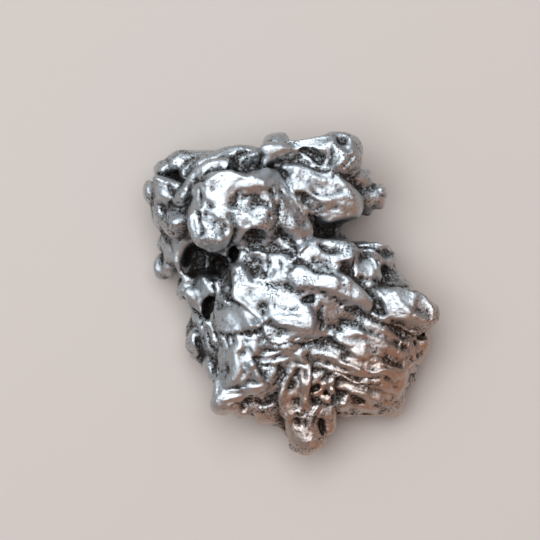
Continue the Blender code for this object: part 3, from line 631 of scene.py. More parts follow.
FACE_STROKES = (
    Ledge(((-11.0, -6.7), (-8.2, -6.4), (-6.2, -5.8), (-4.8, -4.9)), 1.8, 0.9),
    Stroke(((-9.9, 0.7), (-8.5, -0.5), (-7.2, -2.2), (-5.2, -3.9)), 0.9, 0.5),
    Stroke(((-9.8, -0.6), (-9.0, -1.4)), 0.9, -0.5),
    Stroke(((-5.0, -4.2), (-4.4, -6.2), (-3.2, -8.0), (-2.4, -9.2)), 0.6, 0.6),
    Stroke(((-4.7, -3.0), (-4.2, -4.6), (-3.2, -5.6), (-1.6, -6.1)), 0.7, -0.5, 1.0),
    Stroke(((-4.4, -1.8), (-3.8, -1.6)), 0.8, -0.5, 1.0),
    Stroke(((-4.6, 0.3), (-3.2, 0.5), (-1.8, 0.3)), 0.7, -0.6, 1.0),
    Stroke(((-4.6, 2.2), (-2.8, 1.6), (-1.2, 1.4), (0.4, 0.8)), 0.7, -0.6, 1.0),
    Stroke(((-4.0, 6.0), (-4.1, 4.2), (-5.0, 2.6)), 0.7, -0.7, 1.0),
    Stroke(((-7.6, 6.4), (-6.0, 5.0), (-6.6, 3.6)), 1.4, -0.4),
    Stroke(((-2.8, 5.4), (-1.8, 4.6), (-2.2, 3.2)), 0.6, -0.5, 1.0),
    Stroke(((-1.0, 5.6), (-0.2, 4.9)), 0.6, -0.35, 0.5),
    Stroke(((-9.4, 3.4), (-8.6, 2.6)), 0.7, -0.4, 1.0),
    Stroke(((-6.6, 2.4), (-5.4, 2.2)), 0.8, -0.6, 1.0),
    Ledge(((-2.6, -8.2), (0.0, -8.0), (2.6, -8.6), (4.6, -7.8), (6.6, -7.4)), 1.5, 0.8),
    Stroke(((-2.2, -7.6), (0.2, -6.8), (2.6, -6.6)), 1.1, 0.4),
    Stroke(((-3.6, -4.6), (-1.4, -4.6), (0.8, -5.2)), 0.5, -0.3, 1.0),
    Stroke(((-3.0, -3.4), (-0.8, -3.2), (1.6, -3.8)), 0.5, -0.25, 1.0),
    Stroke(((4.9, -2.2), (4.4, -4.0), (5.0, -5.8)), 0.9, -0.5),
    Stroke(((-2.6, -2.2), (-0.6, -2.4), (0.8, -2.2)), 0.5, -0.2, 1.0),
    Stroke(((-0.2, -1.0), (1.0, -0.6)), 0.5, -0.2, 1.0),
    Stroke(((1.2, -3.4), (2.2, -4.8)), 0.5, -0.2, 1.0),
    Stroke(((1.0, 4.9), (2.4, 4.4), (3.9, 3.6)), 0.8, -0.9, 1.0),
    Stroke(((4.2, 3.4), (6.2, 3.3), (8.3, 2.7)), 0.6, -0.5, 1.0),
    Stroke(((3.3, 8.2), (2.5, 7.0), (1.3, 6.0)), 0.6, -0.6, 1.0),
    Stroke(((0.3, 8.6), (0.6, 6.6)), 0.7, -0.7, 1.0),
    Stroke(((-1.2, 3.2), (0.2, 4.2)), 0.5, -0.4, 1.0),
    Stroke(((4.4, 8.0), (6.4, 7.2), (7.6, 7.6)), 0.9, -0.5),
    Stroke(((3.6, 5.6), (3.7, 5.2)), 0.5, -0.5, 1.0),
    Stroke(((-8.8, -7.2), (-8.6, -9.4)), 1.0, 0.6),
    Stroke(((-6.5, -9.0), (-6.2, -9.6)), 1.3, 0.7),
    Stroke(((-5.2, -8.4), (-4.8, -10.4), (-6.2, -11.4)), 0.8, -0.4, 1.0),
    Stroke(((-4.0, -9.8), (-2.2, -9.4)), 0.9, -0.5),
    Stroke(((-10.6, -8.2), (-10.2, -9.4), (-9.6, -8.6)), 0.6, -0.5, 1.0),
)

RIGHT_STROKES = (
    Stroke(((12.7, 7.2), (14.2, 6.0), (15.6, 5.0)), 0.6, -1.0, 1.0),
    Stroke(((13.1, 7.5), (14.6, 6.4), (15.9, 5.4)), 0.5, 0.7),
    Stroke(((10.3, 7.0), (10.8, 5.4), (10.4, 3.4)), 0.7, -0.5, 1.0),
    Stroke(((10.2, 2.6), (11.4, 1.4), (13.2, -0.2), (14.4, -1.0)), 0.7, -0.6, 1.0),
    Stroke(((11.8, 1.8), (13.4, 2.2), (15.2, 2.0)), 0.5, 0.4),
    Stroke(((12.6, 0.6), (14.4, 0.8)), 0.6, -0.5, 1.0),
    Stroke(((14.6, -1.6), (15.6, -2.4), (15.0, -3.4)), 0.8, -0.6),
    Stroke(((14.8, 0.0), (15.8, -1.2)), 0.6, 0.5),
    Ledge(((13.8, -4.0), (16.0, -5.0), (18.4, -5.6), (21.0, -6.6), (22.6, -6.8)), 1.4, 0.6),
    Stroke(((21.8, -0.8), (22.9, -3.0), (23.0, -4.8)), 0.6, -0.25, 1.0),
    Stroke(((21.4, 0.0), (20.0, -1.0)), 0.5, -0.3, 1.0),
    Stroke(((21.2, -8.4), (21.0, -9.8), (21.6, -11.0)), 0.7, -0.6, 1.0),
    Stroke(((20.3, -11.2), (20.5, -11.4)), 0.5, -1.0, 1.0),
    Stroke(((18.8, -8.0), (18.2, -9.8)), 0.6, 0.5),
)

SLOPE_STROKES = (
    Stroke(((7.4, -5.4), (9.0, -5.0), (11.2, -5.6)), 1.3, -0.5),
    Stroke(((8.6, -6.6), (10.2, -6.8)), 1.2, 0.4),
    Stroke(((6.8, -7.4), (9.6, -8.3), (12.4, -8.6)), 1.0, 0.5),
    Stroke(((4.6, -8.8), (6.4, -8.4), (8.4, -8.9)), 1.0, -0.4),
    Stroke(((4.2, -10.5), (7.6, -10.9), (9.4, -11.8), (11.2, -12.7)), 1.1, 0.5),
    Stroke(((11.2, -12.9), (14.0, -13.9), (16.0, -13.5), (17.8, -14.8)), 1.1, 0.5),
    Stroke(((6.2, -12.0), (8.4, -12.8), (10.0, -14.0)), 0.7, -0.6, 1.0),
    Stroke(((6.9, -12.8), (10.0, -13.9)), 0.5, 0.4),
    Ledge(((7.4, -14.0), (9.6, -15.6), (12.4, -15.9), (14.6, -15.8)), 1.3, 0.7),
    Stroke(((12.0, -15.1), (14.2, -15.6)), 0.5, -0.8, 1.0),
    Stroke(((10.0, -16.9), (12.4, -17.4), (14.8, -18.0)), 0.7, 0.7),
    Stroke(((11.0, -18.3), (12.2, -18.9)), 0.8, -0.35),
    Stroke(((8.4, -11.0), (9.6, -11.3)), 0.7, -0.7, 1.0),
    Stroke(((15.4, -10.1), (16.6, -11.0)), 0.5, -0.6, 1.0),
    Stroke(((16.0, -11.0), (17.6, -11.5)), 0.6, 0.5),
    Stroke(((14.4, -12.8), (16.2, -12.7), (18.4, -13.5)), 0.5, -0.5, 1.0),
    Stroke(((17.8, -6.3), (18.2, -6.7)), 0.6, -0.8, 1.0),
    Stroke(((12.0, -11.4), (13.2, -10.4)), 0.8, -0.4),
    Stroke(((8.6, -19.9), (9.2, -20.4)), 0.8, -0.8, 1.0),
    Stroke(((12.4, -20.8), (14.0, -20.9)), 0.5, -0.7, 1.0),
)

HORN_STROKES = (
    Ledge(((-10.0, -19.4), (-8.0, -17.9), (-6.4, -17.6), (-4.4, -17.9), (-2.6, -16.8)), 1.4, 0.8),
    Stroke(((-9.4, -10.2), (-9.0, -12.6), (-9.4, -14.6)), 1.4, 0.5),
    Stroke(((-6.6, -11.8), (-7.4, -13.6), (-8.4, -14.9)), 0.9, 0.6),
    Stroke(((-6.6, -12.0), (-5.4, -14.0), (-4.4, -16.4)), 0.9, 0.6),
    Stroke(((-7.8, -15.8), (-6.6, -15.0), (-5.4, -15.2)), 0.8, -0.45),
    Stroke(((-11.4, -16.6), (-10.4, -16.4), (-9.0, -15.8)), 0.8, -0.4),
    Stroke(((-11.2, -18.4), (-9.4, -17.8), (-8.0, -17.0), (-5.4, -16.8)), 1.0, 0.5),
    Stroke(((-8.6, -10.0), (-7.8, -10.2)), 0.5, -0.5, 1.0),
    Stroke(((-5.6, -12.2), (-4.6, -13.8), (-3.6, -15.2)), 0.6, -0.5, 1.0),
    Stroke(((-4.4, -11.4), (-2.6, -11.7), (-1.2, -11.5)), 0.8, 0.6),
    Stroke(((-3.8, -11.8), (-3.4, -11.8)), 0.5, -0.5, 1.0),
    Stroke(((-2.0, -12.6), (-1.7, -13.2)), 0.9, -0.6),
    Stroke(((-5.4, -18.3), (-4.2, -18.7)), 0.7, -0.9, 1.0),
    Stroke(((-5.6, -19.8), (-3.6, -19.4), (-2.5, -18.6)), 0.6, 0.6),
)

FOOT_STROKES = (
    Stroke(((0.4, -12.6), (-1.0, -14.8), (-1.5, -17.6), (-1.0, -20.2), (-0.2, -22.0)), 0.8, 0.5),
    Stroke(((0.3, -13.2), (0.5, -14.4)), 0.8, -0.8, 1.0),
    Stroke(((2.2, -13.8), (2.3, -14.6)), 0.6, -0.5, 1.0),
    Stroke(((0.9, -15.6), (1.0, -17.0)), 1.0, 0.4),
    Stroke(((0.2, -18.2), (1.2, -18.6)), 0.9, -0.8, 1.0),
    Stroke(((-1.0, -18.8), (-0.6, -20.4)), 0.7, -0.6, 1.0),
    Stroke(((-0.2, -21.8), (0.4, -20.2), (1.4, -19.6), (2.0, -20.4)), 0.6, 0.6),
    Stroke(((1.0, -21.6), (1.2, -22.4)), 0.9, -0.8),
    Stroke(((3.2, -13.2), (3.0, -16.0), (2.8, -18.6)), 0.7, 0.5),
    Stroke(((4.8, -19.4), (3.6, -20.8), (3.0, -22.8)), 0.7, 0.7),
    Stroke(((2.4, -20.0), (2.4, -22.4), (2.8, -24.4)), 0.6, -0.6, 1.0),
    Stroke(((3.0, -24.6), (4.2, -24.4), (5.2, -25.0)), 0.6, -0.5, 1.0),
    Stroke(((1.0, -12.0), (2.4, -12.6)), 0.5, -0.6, 1.0),
    Stroke(((0.8, -10.0), (1.4, -9.7)), 0.5, -0.5, 1.0),
    Stroke(((1.6, -10.6), (2.0, -11.6)), 1.1, 0.5),
)

LEFT_STROKES = (
    Stroke(((-23.2, 19.7), (-21.4, 19.1), (-19.7, 18.5)), 0.6, 0.4),
    Stroke(((-19.6, 15.2), (-18.2, 15.4), (-17.0, 15.6)), 0.7, -0.9, 1.0),
    Stroke(((-20.9, 18.4), (-20.3, 16.4), (-20.8, 14.2)), 0.7, -0.7, 1.0),
    Stroke(((-22.6, 20.3), (-20.8, 20.0), (-18.8, 20.8)), 0.8, -0.8, 1.0),
    Stroke(((-18.2, 20.6), (-17.0, 22.0), (-15.6, 22.8)), 0.6, -0.6, 1.0),
    Stroke(((-21.8, 13.8), (-21.0, 11.4), (-20.2, 9.2)), 0.6, -0.6, 1.0),
    Stroke(((-17.2, 8.4), (-15.8, 7.0), (-14.8, 5.8)), 0.5, 0.4),
    Stroke(((-15.2, 8.4), (-13.4, 6.8), (-11.6, 5.8)), 0.5, 0.4),
    Stroke(((-17.8, 0.4), (-16.8, -0.6), (-15.8, -2.2)), 0.6, 0.5),
    Stroke(((-14.6, 2.2), (-13.8, 0.8), (-13.2, -0.4)), 0.5, 0.5),
    Stroke(((-15.4, -5.6), (-15.2, -7.6), (-14.8, -9.2)), 0.5, -0.6, 1.0),
    Stroke(((-16.6, -5.4), (-16.4, -7.6), (-16.0, -9.6)), 0.5, -0.4, 1.0),
    Stroke(((-14.2, -5.2), (-12.8, -5.4)), 0.7, 0.5),
    Stroke(((-12.2, -6.2), (-12.2, -8.4), (-12.0, -10.4)), 0.5, -0.7, 1.0),
    Stroke(((-14.3, -4.6), (-14.2, -7.0), (-13.8, -9.4), (-12.4, -9.9)), 0.7, -0.8, 1.0),
    Stroke(((-13.0, -3.2), (-12.7, -4.4), (-11.9, -4.8)), 0.5, -0.6, 1.0),
    Stroke(((-13.6, -5.4), (-12.8, -6.6), (-13.0, -8.2)), 0.8, 0.5),
)

STROKES = (
    CROWN_STROKES + BLOCK_STROKES + FACE_STROKES + RIGHT_STROKES
    + SLOPE_STROKES + HORN_STROKES + FOOT_STROKES + LEFT_STROKES
)

# Knobs and dents sit where rays towards the heart of the lump meet its skin. The rays are spread evenly
# round the lump, from nearly straight up at its underside to just below the level.
HEART = (-1.0, 0.0, 9.0)
RAY_START = 45.0
RAYS = 110
RAY_HEIGHTS = (-0.97, -0.05)
GOLDEN_ANGLE = math.pi * (3.0 - math.sqrt(5.0))
KNOB_HALF = (1.3, 2.9)
KNOB_RISE = 0.42
DENT_EVERY = 3
DENT_HALF = (0.9, 1.7)
STRETCH = (1.0, 1.6)
SEED = 11

# Values that mustn't reach zero are kept at this or more.
TINY = 1e-6

# The grid of distances reaches over this box, and holds no distance above FAR.
FIELD_LOW = (-28.0, -30.0, -1.0)
FIELD_HIGH = (28.0, 30.0, 28.5)
FAR = 4.0
# Forms run together over this share of the smaller form's half width.
BLEND = 0.38
TUBE_SPACING = 0.5
# A facet fades in over its edge, and moves skin that lies within its reach below the topmost metal.
FACET_EDGE = 1.2
FACET_REACH = 2.0
FACET_FIRMNESS = 0.8
# How far a stroke's path is evened out over drops in the skin, in path points.
PATH_EVENING = 5

# Noise is read from a table that repeats after this many lumps.
NOISE_TABLE = 64
# Layers of (grain, shift, seed) that bend every form a little.
WARP = ((5.0, 0.5, 10), (2.2, 0.3, 20))
# Layers of (grain, height, seed): folds on the flanks, then roughness wherever the metal isn't rubbed.
WEATHER = ((3.0, 0.22, 1), (1.4, 0.12, 2), (0.8, 0.12, 3))
FINE_GRAIN = 1.0
# Layers of (grain, depth, rarity, seed) of small pits.
PITS = ((1.0, 0.26, 0.42, 31), (0.7, 0.22, 0.40, 32))
PIT_EDGE = 0.2
# The noise has round folds and keen creases, in these shares and about this level.
FOLD_SHARE = 0.5
CREASE_SHARE = 2.0
CREASE_LEVEL = 0.6
# The seed of a layer's creases is this far above the seed of its folds.
CREASE_SEEDS = 50
# The flanks reach up to this height, and are folded in full this far below it. The rest has the least.
FLANK_TOP = 14.0
FLANK_FADE = 6.0
FLANK_LEAST = 0.25
# How rubbed level metal is, how that falls with hollowness, and how much smoother rubbed metal is.
RUBBED_LEVEL = 0.75
RUBBED_FALL = 0.6
RUBBED_SMOOTH = 0.8
# The underside stays flat: noise and warps start this far above it.
WORN_RISE = 0.6
WARP_RISE = 3.0

# Fine ribs that run down the slope: across them the noise is short, and along them it is long.
STRIAE_TURN = math.radians(-22)
STRIAE_LONG = 5.0
STRIAE_SHORT = 0.9
STRIAE_DEEP = 3.3
STRIAE_CENTRE = (13.0, -12.0)
STRIAE_HALF = (11.0, 9.0)
STRIAE_REACH = 1.2
STRIAE_FADE = 0.4
STRIAE_HEIGHT = 0.32
STRIAE_SEED = 70

# Hollows of three sizes: how many passes even them out, and the depth that counts as 1.
HOLLOW_SIZES = ((12, 0.12), (60, 0.45), (220, 1.3))
# The least and the most that one size counts.
HOLLOW_LIMITS = (-1.0, 1.5)

# Rays that find how much of the sky a place sees, and the distances along them that are tried.
SKY_RAYS = 28
SKY_STEPS = (0.9, 1.4, 2.0, 2.8, 3.8, 5.0, 6.5, 8.5, 11.0, 14.0)

# Sockets of a mix node that mixes colours.
COLOUR_A = 6
COLOUR_B = 7
COLOUR_RESULT = 2

# Ranges for the materials. Each carries the values between its first pair over to its second pair.
WHOLE = (0.0, 1.0, 0.0, 1.0)
# Painted shade: the range of open sky over which places that see less sky are darkened, and the lesser
# share at which a cave is painted plain dark.
SKY_SHADE_RANGE = (0.0, 0.85, 2.2, 0.0)
CAVE_SHADE = (0.05, 0.32, 1.0, 0.0)
# Hollowness and painted shade together, carried over to how dark the oxide and shade are.
OXIDE_AND_SHADE_DEPTH = (0.1, 2.6, 0.0, 1.0)
# The noise that makes dark specks rarer, how sharp a speck is, and the noise that bares grains of metal.
SPECK_RARITY = (0.35, 0.65, 0.48, 0.645)
SPECK_EDGE = (0.0, 0.13, 0.0, 0.8)
BARE_GRAINS = (0.36, 0.6, 0.48, 1.25)
RUST_AND_REFLECTION_PATCHES = (0.35, 0.6, 0.5, 1.0)
GRAIN_STRENGTH = (0.1, 0.6, 0.7, 1.0)
WALL_SPREAD = (0.1, 0.9, 0.0, 1.0)
# How far towards the oxide the dull metal lies.
DULL_PLACE = 0.45
# The detail and the roughness of the noise that makes patches, rust with its painted warm reflection,
# specks and grain.
PATCH_NOISE = (2.0, 0.5)
RUST_AND_REFLECTION_NOISE = (3.0, 0.6)
SPECK_NOISE = (3.0, 0.7)
GRAIN_NOISE = (4.0, 0.7)

# The rust, which also stands in for a painted warm reflection, lies over the side that the slope and the
# foot make: it grows from start to end along this direction, in metres from the lump's origin.
RUST_AND_REFLECTION_DIRECTION = (0.45, -0.8, -0.4)
RUST_AND_REFLECTION_START = 2 * MM
RUST_AND_REFLECTION_END = 9 * MM

# Painted shade on the low left flank: it grows along this direction, over this range of metres.
FLANK_SHADE_DIRECTION = (-0.8, -0.35, -0.9)
FLANK_SHADE = (5 * MM, 11 * MM, 0.0, 1.2)

# The dome of the room is brightest in one direction. Its colours go by how near to it a ray points.
DOME_DIRECTION = (-0.25, 0.30, 0.92)
DOME_COLOURS = ((0.0, "565d64"), (0.35, "798188"), (0.7, "98a1a8"), (1.0, "f4f8fc"))
WALL_DIRECTION = (0.6, -0.8, 0.0)
CARD_ROUGHNESS = 0.9

# The photograph: its width in pixels, a pixel's size on the lump, and the plan point at its middle.
PHOTO_PIXELS = 540
PIXEL_SIZE = 0.17
PHOTO_MIDDLE = (-3.57, 4.25)
# The height on the lump at which a pixel has that size.
VIEW_HEIGHT = 14.0
SENSOR_WIDTH = 36.0

# No length in the settings goes below this.
LEAST_LENGTH = 0.1 * MM


def linear(hex_colour):
    """An sRGB hex colour, such as "8f8d8a", as linear red, green and blue."""
    values = [int(hex_colour[i : i + 2], 16) / 255 for i in (0, 2, 4)]
    return [v / 12.92 if v <= 0.04045 else ((v + 0.055) / 1.055) ** 2.4 for v in values]


def smooth_path(points, spacing):
    """Points along a Catmull-Rom curve through the given ones, about one spacing apart."""
    knots = np.array(points, float)
    knots = np.vstack([2 * knots[0] - knots[1], knots, 2 * knots[-1] - knots[-2]])
    path = [knots[1]]
    for a, b, c, d in zip(knots, knots[1:], knots[2:], knots[3:]):
        bend = 2 * a - 5 * b + 4 * c - d
        swing = 3 * b - a - 3 * c + d
        steps = max(2, int(np.linalg.norm(c[:2] - b[:2]) / spacing))
        for t in np.arange(1, steps + 1) / steps:
            path.append(b + ((c - a) * t + bend * t**2 + swing * t**3) / 2)
    return np.array(path)


def thickness(form):
    """Half the least width of a form."""
    if isinstance(form, Lump):
        return min(form.half)
    return min(point[3] for point in form.points)


def smooth_min(a, b, blend):
    """The lower of two distances, with the corner between them rounded over blend."""
    overlap = np.clip(blend - np.abs(a - b), 0, None) / blend
    return np.minimum(a, b) - overlap * overlap * blend / 4


def eased(share):
    """A share from 0 to 1 that starts and ends gently."""
    return share * share * (3 - 2 * share)


def from_segment(places, start, end):
    """The offsets of places from a segment's start, its run, and the distances of places from it."""
    offset = places - start
    run = end - start
    share = np.clip(offset @ run / (run @ run), 0, 1)
    return offset, run, np.linalg.norm(offset - share[:, None] * run, axis=1)


def noise(points, grain, seed):
    """Smooth noise from -1 to 1, whose lumps are about a grain across."""
    table = np.random.default_rng(seed).uniform(-1, 1, (NOISE_TABLE,) * 3)
    scaled = points / grain
    cell = np.floor(scaled).astype(int)
    inner = eased(scaled - cell)
    total = np.zeros(len(points))
    for corner in itertools.product((0, 1), repeat=3):
        weight = np.prod(np.where(corner, inner, 1 - inner), axis=1)
        total += weight * table[tuple(((cell + corner) % NOISE_TABLE).T)]
    return total


class Metal:
    """The lump as a grid of distances to its skin in millimetres, below zero inside the metal."""

    def __init__(self, step):
        self.step = step
        self.low = np.array(FIELD_LOW)
        counts = np.ceil((np.array(FIELD_HIGH) - self.low) / step).astype(int) + 1
        self.axes = [low + step * np.arange(count) for low, count in zip(self.low, counts)]
        self.skin = np.full(counts, FAR, np.float32)

    def block(self, low, high):
        """The part of the grid between two corners: its slices and its coordinates."""
        first = np.clip(((low - self.low) / self.step).astype(int), 0, None)
        last = ((high - self.low) / self.step).astype(int) + 2
        slices = tuple(slice(a, b) for a, b in zip(first, last))
        x, y, z = (axis[s] for axis, s in zip(self.axes, slices))
        return slices, (x[:, None, None], y[None, :, None], z[None, None, :])

    def lump_distance(self, lump):
        """The block round a lump, and the distances there to the lump's own skin."""
        turn = np.array(Euler([math.radians(angle) for angle in lump.turn]).to_matrix())
        half = np.array(lump.half)
        centre = np.array(lump.centre)
        reach = np.sqrt(((turn * half) ** 2).sum(axis=1)) + FAR / 2
        slices, place = self.block(centre - reach, centre + reach)
        offset = [p - c for p, c in zip(place, centre)]
        local = [sum(turn[i, j] * offset[i] for i in range(3)) for j in range(3)]
        full = lump.fullness
        shares = [np.abs(part) / h for part, h in zip(local, half)]
        stretch = np.maximum(sum(share**full for share in shares) ** (1 / full), TINY)
        slope = np.sqrt(sum((share ** (full - 1) / h) ** 2 for share, h in zip(shares, half)))
        return slices, (stretch - 1) * stretch ** (full - 1) / np.maximum(slope, TINY)

    def ridge_distance(self, ridge):
        """The block round a ridge, and the distances there to the ridge's own skin."""
        path = smooth_path(ridge.points, TUBE_SPACING)
        reach = path[:, 3].max() + FAR / 2
        slices, place = self.block(path[:, :3].min(axis=0) - reach, path[:, :3].max(axis=0) + reach)
        nearest = None
        for start, end in zip(path, path[1:]):
            run = end[:3] - start[:3]
            offset = [p - c for p, c in zip(place, start)]
            share = np.clip(sum(o * r for o, r in zip(offset, run)) / (run @ run), 0, 1)
            gap = np.sqrt(sum((o - share * r) ** 2 for o, r in zip(offset, run)))
            gap -= start[3] + share * (end[3] - start[3])
            nearest = gap if nearest is None else np.minimum(nearest, gap)
        return slices, nearest

    def distance(self, form):
        """The block round a form, and the distances there to the form's own skin."""
        return self.lump_distance(form) if isinstance(form, Lump) else self.ridge_distance(form)

    def merge(self, form):
        """Runs a form into the metal. The larger the form, the softer the seam."""
        slices, gap = self.distance(form)
        self.skin[slices] = smooth_min(self.skin[slices], gap, BLEND * thickness(form))

    def carve(self, form):
        """Takes a form out of the metal."""
        slices, gap = self.distance(form)
        self.skin[slices] = -smooth_min(-self.skin[slices], gap, BLEND * thickness(form))

    def wear_flat(self):
        """Cuts off what lies below z = 0."""
        below = -self.axes[2][None, None, :].astype(np.float32)
        self.skin = np.maximum(self.skin, below)

    def value(self, places):
        """The distances at places, read from the nearest grid points."""
        index = np.rint((places - self.low) / self.step).astype(int)
        index = np.clip(index, 0, np.array(self.skin.shape) - 1)
        return self.skin[tuple(index.T)]

    def top(self, plan):
        """The height of the topmost metal over plan points."""
        index = np.rint((plan - self.low[:2]) / self.step).astype(int)
        columns = self.skin[index[:, 0], index[:, 1]] < 0
        from_above = columns[:, ::-1].argmax(axis=1)
        return self.axes[2][columns.shape[1] - 1 - from_above]

    def openness(self, places, normals):
        """The share of the sky that each place sees past the rest of the metal."""
        seen = np.zeros(len(places))
        for index in range(SKY_RAYS):
            height = (index + 0.5) / SKY_RAYS
            across = math.sqrt(1.0 - height * height)
            angle = index * GOLDEN_ANGLE
            ray = np.array((across * math.cos(angle), across * math.sin(angle), height))
            free = normals @ ray > 0
            for step in SKY_STEPS:
                free &= self.value(places + step * ray) > 0
            seen += free
        return seen / SKY_RAYS

    def mesh(self):
        """The skin as points and four-sided faces, by surface nets."""
        # The skin passes through a cell where some of its corners lie inside the metal, but not all.
        inside = self.skin < 0
        corner_sum = sum(
            inside[x : x - 1 or None, y : y - 1 or None, z : z - 1 or None].astype(np.int8)
            for x, y, z in itertools.product((0, 1), repeat=3)
        )
        crossed = (corner_sum > 0) & (corner_sum < 8)
        cells = np.argwhere(crossed)
        number = np.full(crossed.shape, -1)
        number[crossed] = np.arange(len(cells))
        # Such a cell has one point, at the mean of the places where the skin cuts its edges.
        total = np.zeros((len(cells), 3))
        count = np.zeros(len(cells))
        for axis in range(3):
            for u, v in itertools.product((0, 1), repeat=2):
                start = np.insert((u, v), axis, 0)
                end = np.insert((u, v), axis, 1)
                a = self.skin[tuple((cells + start).T)]
                b = self.skin[tuple((cells + end).T)]
                cut = (a < 0) != (b < 0)
                share = np.where(cut, a / np.where(cut, a - b, 1), 0)
                total += np.where(cut[:, None], start + share[:, None] * (end - start), 0)
                count += cut
        points = self.low + self.step * (cells + total / count[:, None])
        # Where the skin cuts an edge of the grid, a face joins the points of the four cells round it.
        faces = []
        for axis in range(3):
            across = [a for a in range(3) if a != axis]
            lower = np.take(inside, range(inside.shape[axis] - 1), axis)
            upper = np.take(inside, range(1, inside.shape[axis]), axis)
            edge = np.argwhere(lower != upper)
            edge = edge[(edge[:, across[0]] > 0) & (edge[:, across[1]] > 0)]
            outward = lower[tuple(edge.T)] ^ (axis == 1)
            shifts = np.zeros((4, 3), int)
            shifts[:, across] = ((-1, -1), (0, -1), (0, 0), (-1, 0))
            quad = np.stack([number[tuple((edge + shift).T)] for shift in shifts], axis=1)
            faces.append(np.where(outward[:, None], quad, quad[:, ::-1]))
        return points, np.vstack(faces)


def knobs_and_dents(metal):
    """Small knobs and dents for the flanks and the underside of the metal, in that order."""
    chance = random.Random(SEED)
    heart = np.array(HEART)
    low, high = RAY_HEIGHTS
    knobs = []
    dents = []
    distances = np.arange(RAY_START, 0, -metal.step / 2)
    for index in range(RAYS):
        height = low + (high - low) * index / (RAYS - 1)
        across = math.sqrt(1.0 - height * height)
        angle = index * GOLDEN_ANGLE
        outward = np.array((across * math.cos(angle), across * math.sin(angle), height))
        ray = heart + distances[:, None] * outward
        place = ray[(metal.value(ray) < 0).argmax()]
        sides = metal.step * 2 * np.eye(3)
        normal = Vector(metal.value(place + sides) - metal.value(place - sides))
        turn = [math.degrees(part) for part in normal.to_track_quat("Z", "Y").to_euler()]
        stretch = chance.uniform(*STRETCH)
        if index % DENT_EVERY:
            wide = chance.uniform(*KNOB_HALF)
            knobs.append(Lump("knob", place, (wide, wide * stretch, wide * KNOB_RISE), turn))
        else:
            wide = chance.uniform(*DENT_HALF)
            dents.append(Lump("dent", place, (wide, wide * stretch, wide), turn))
    return knobs, dents


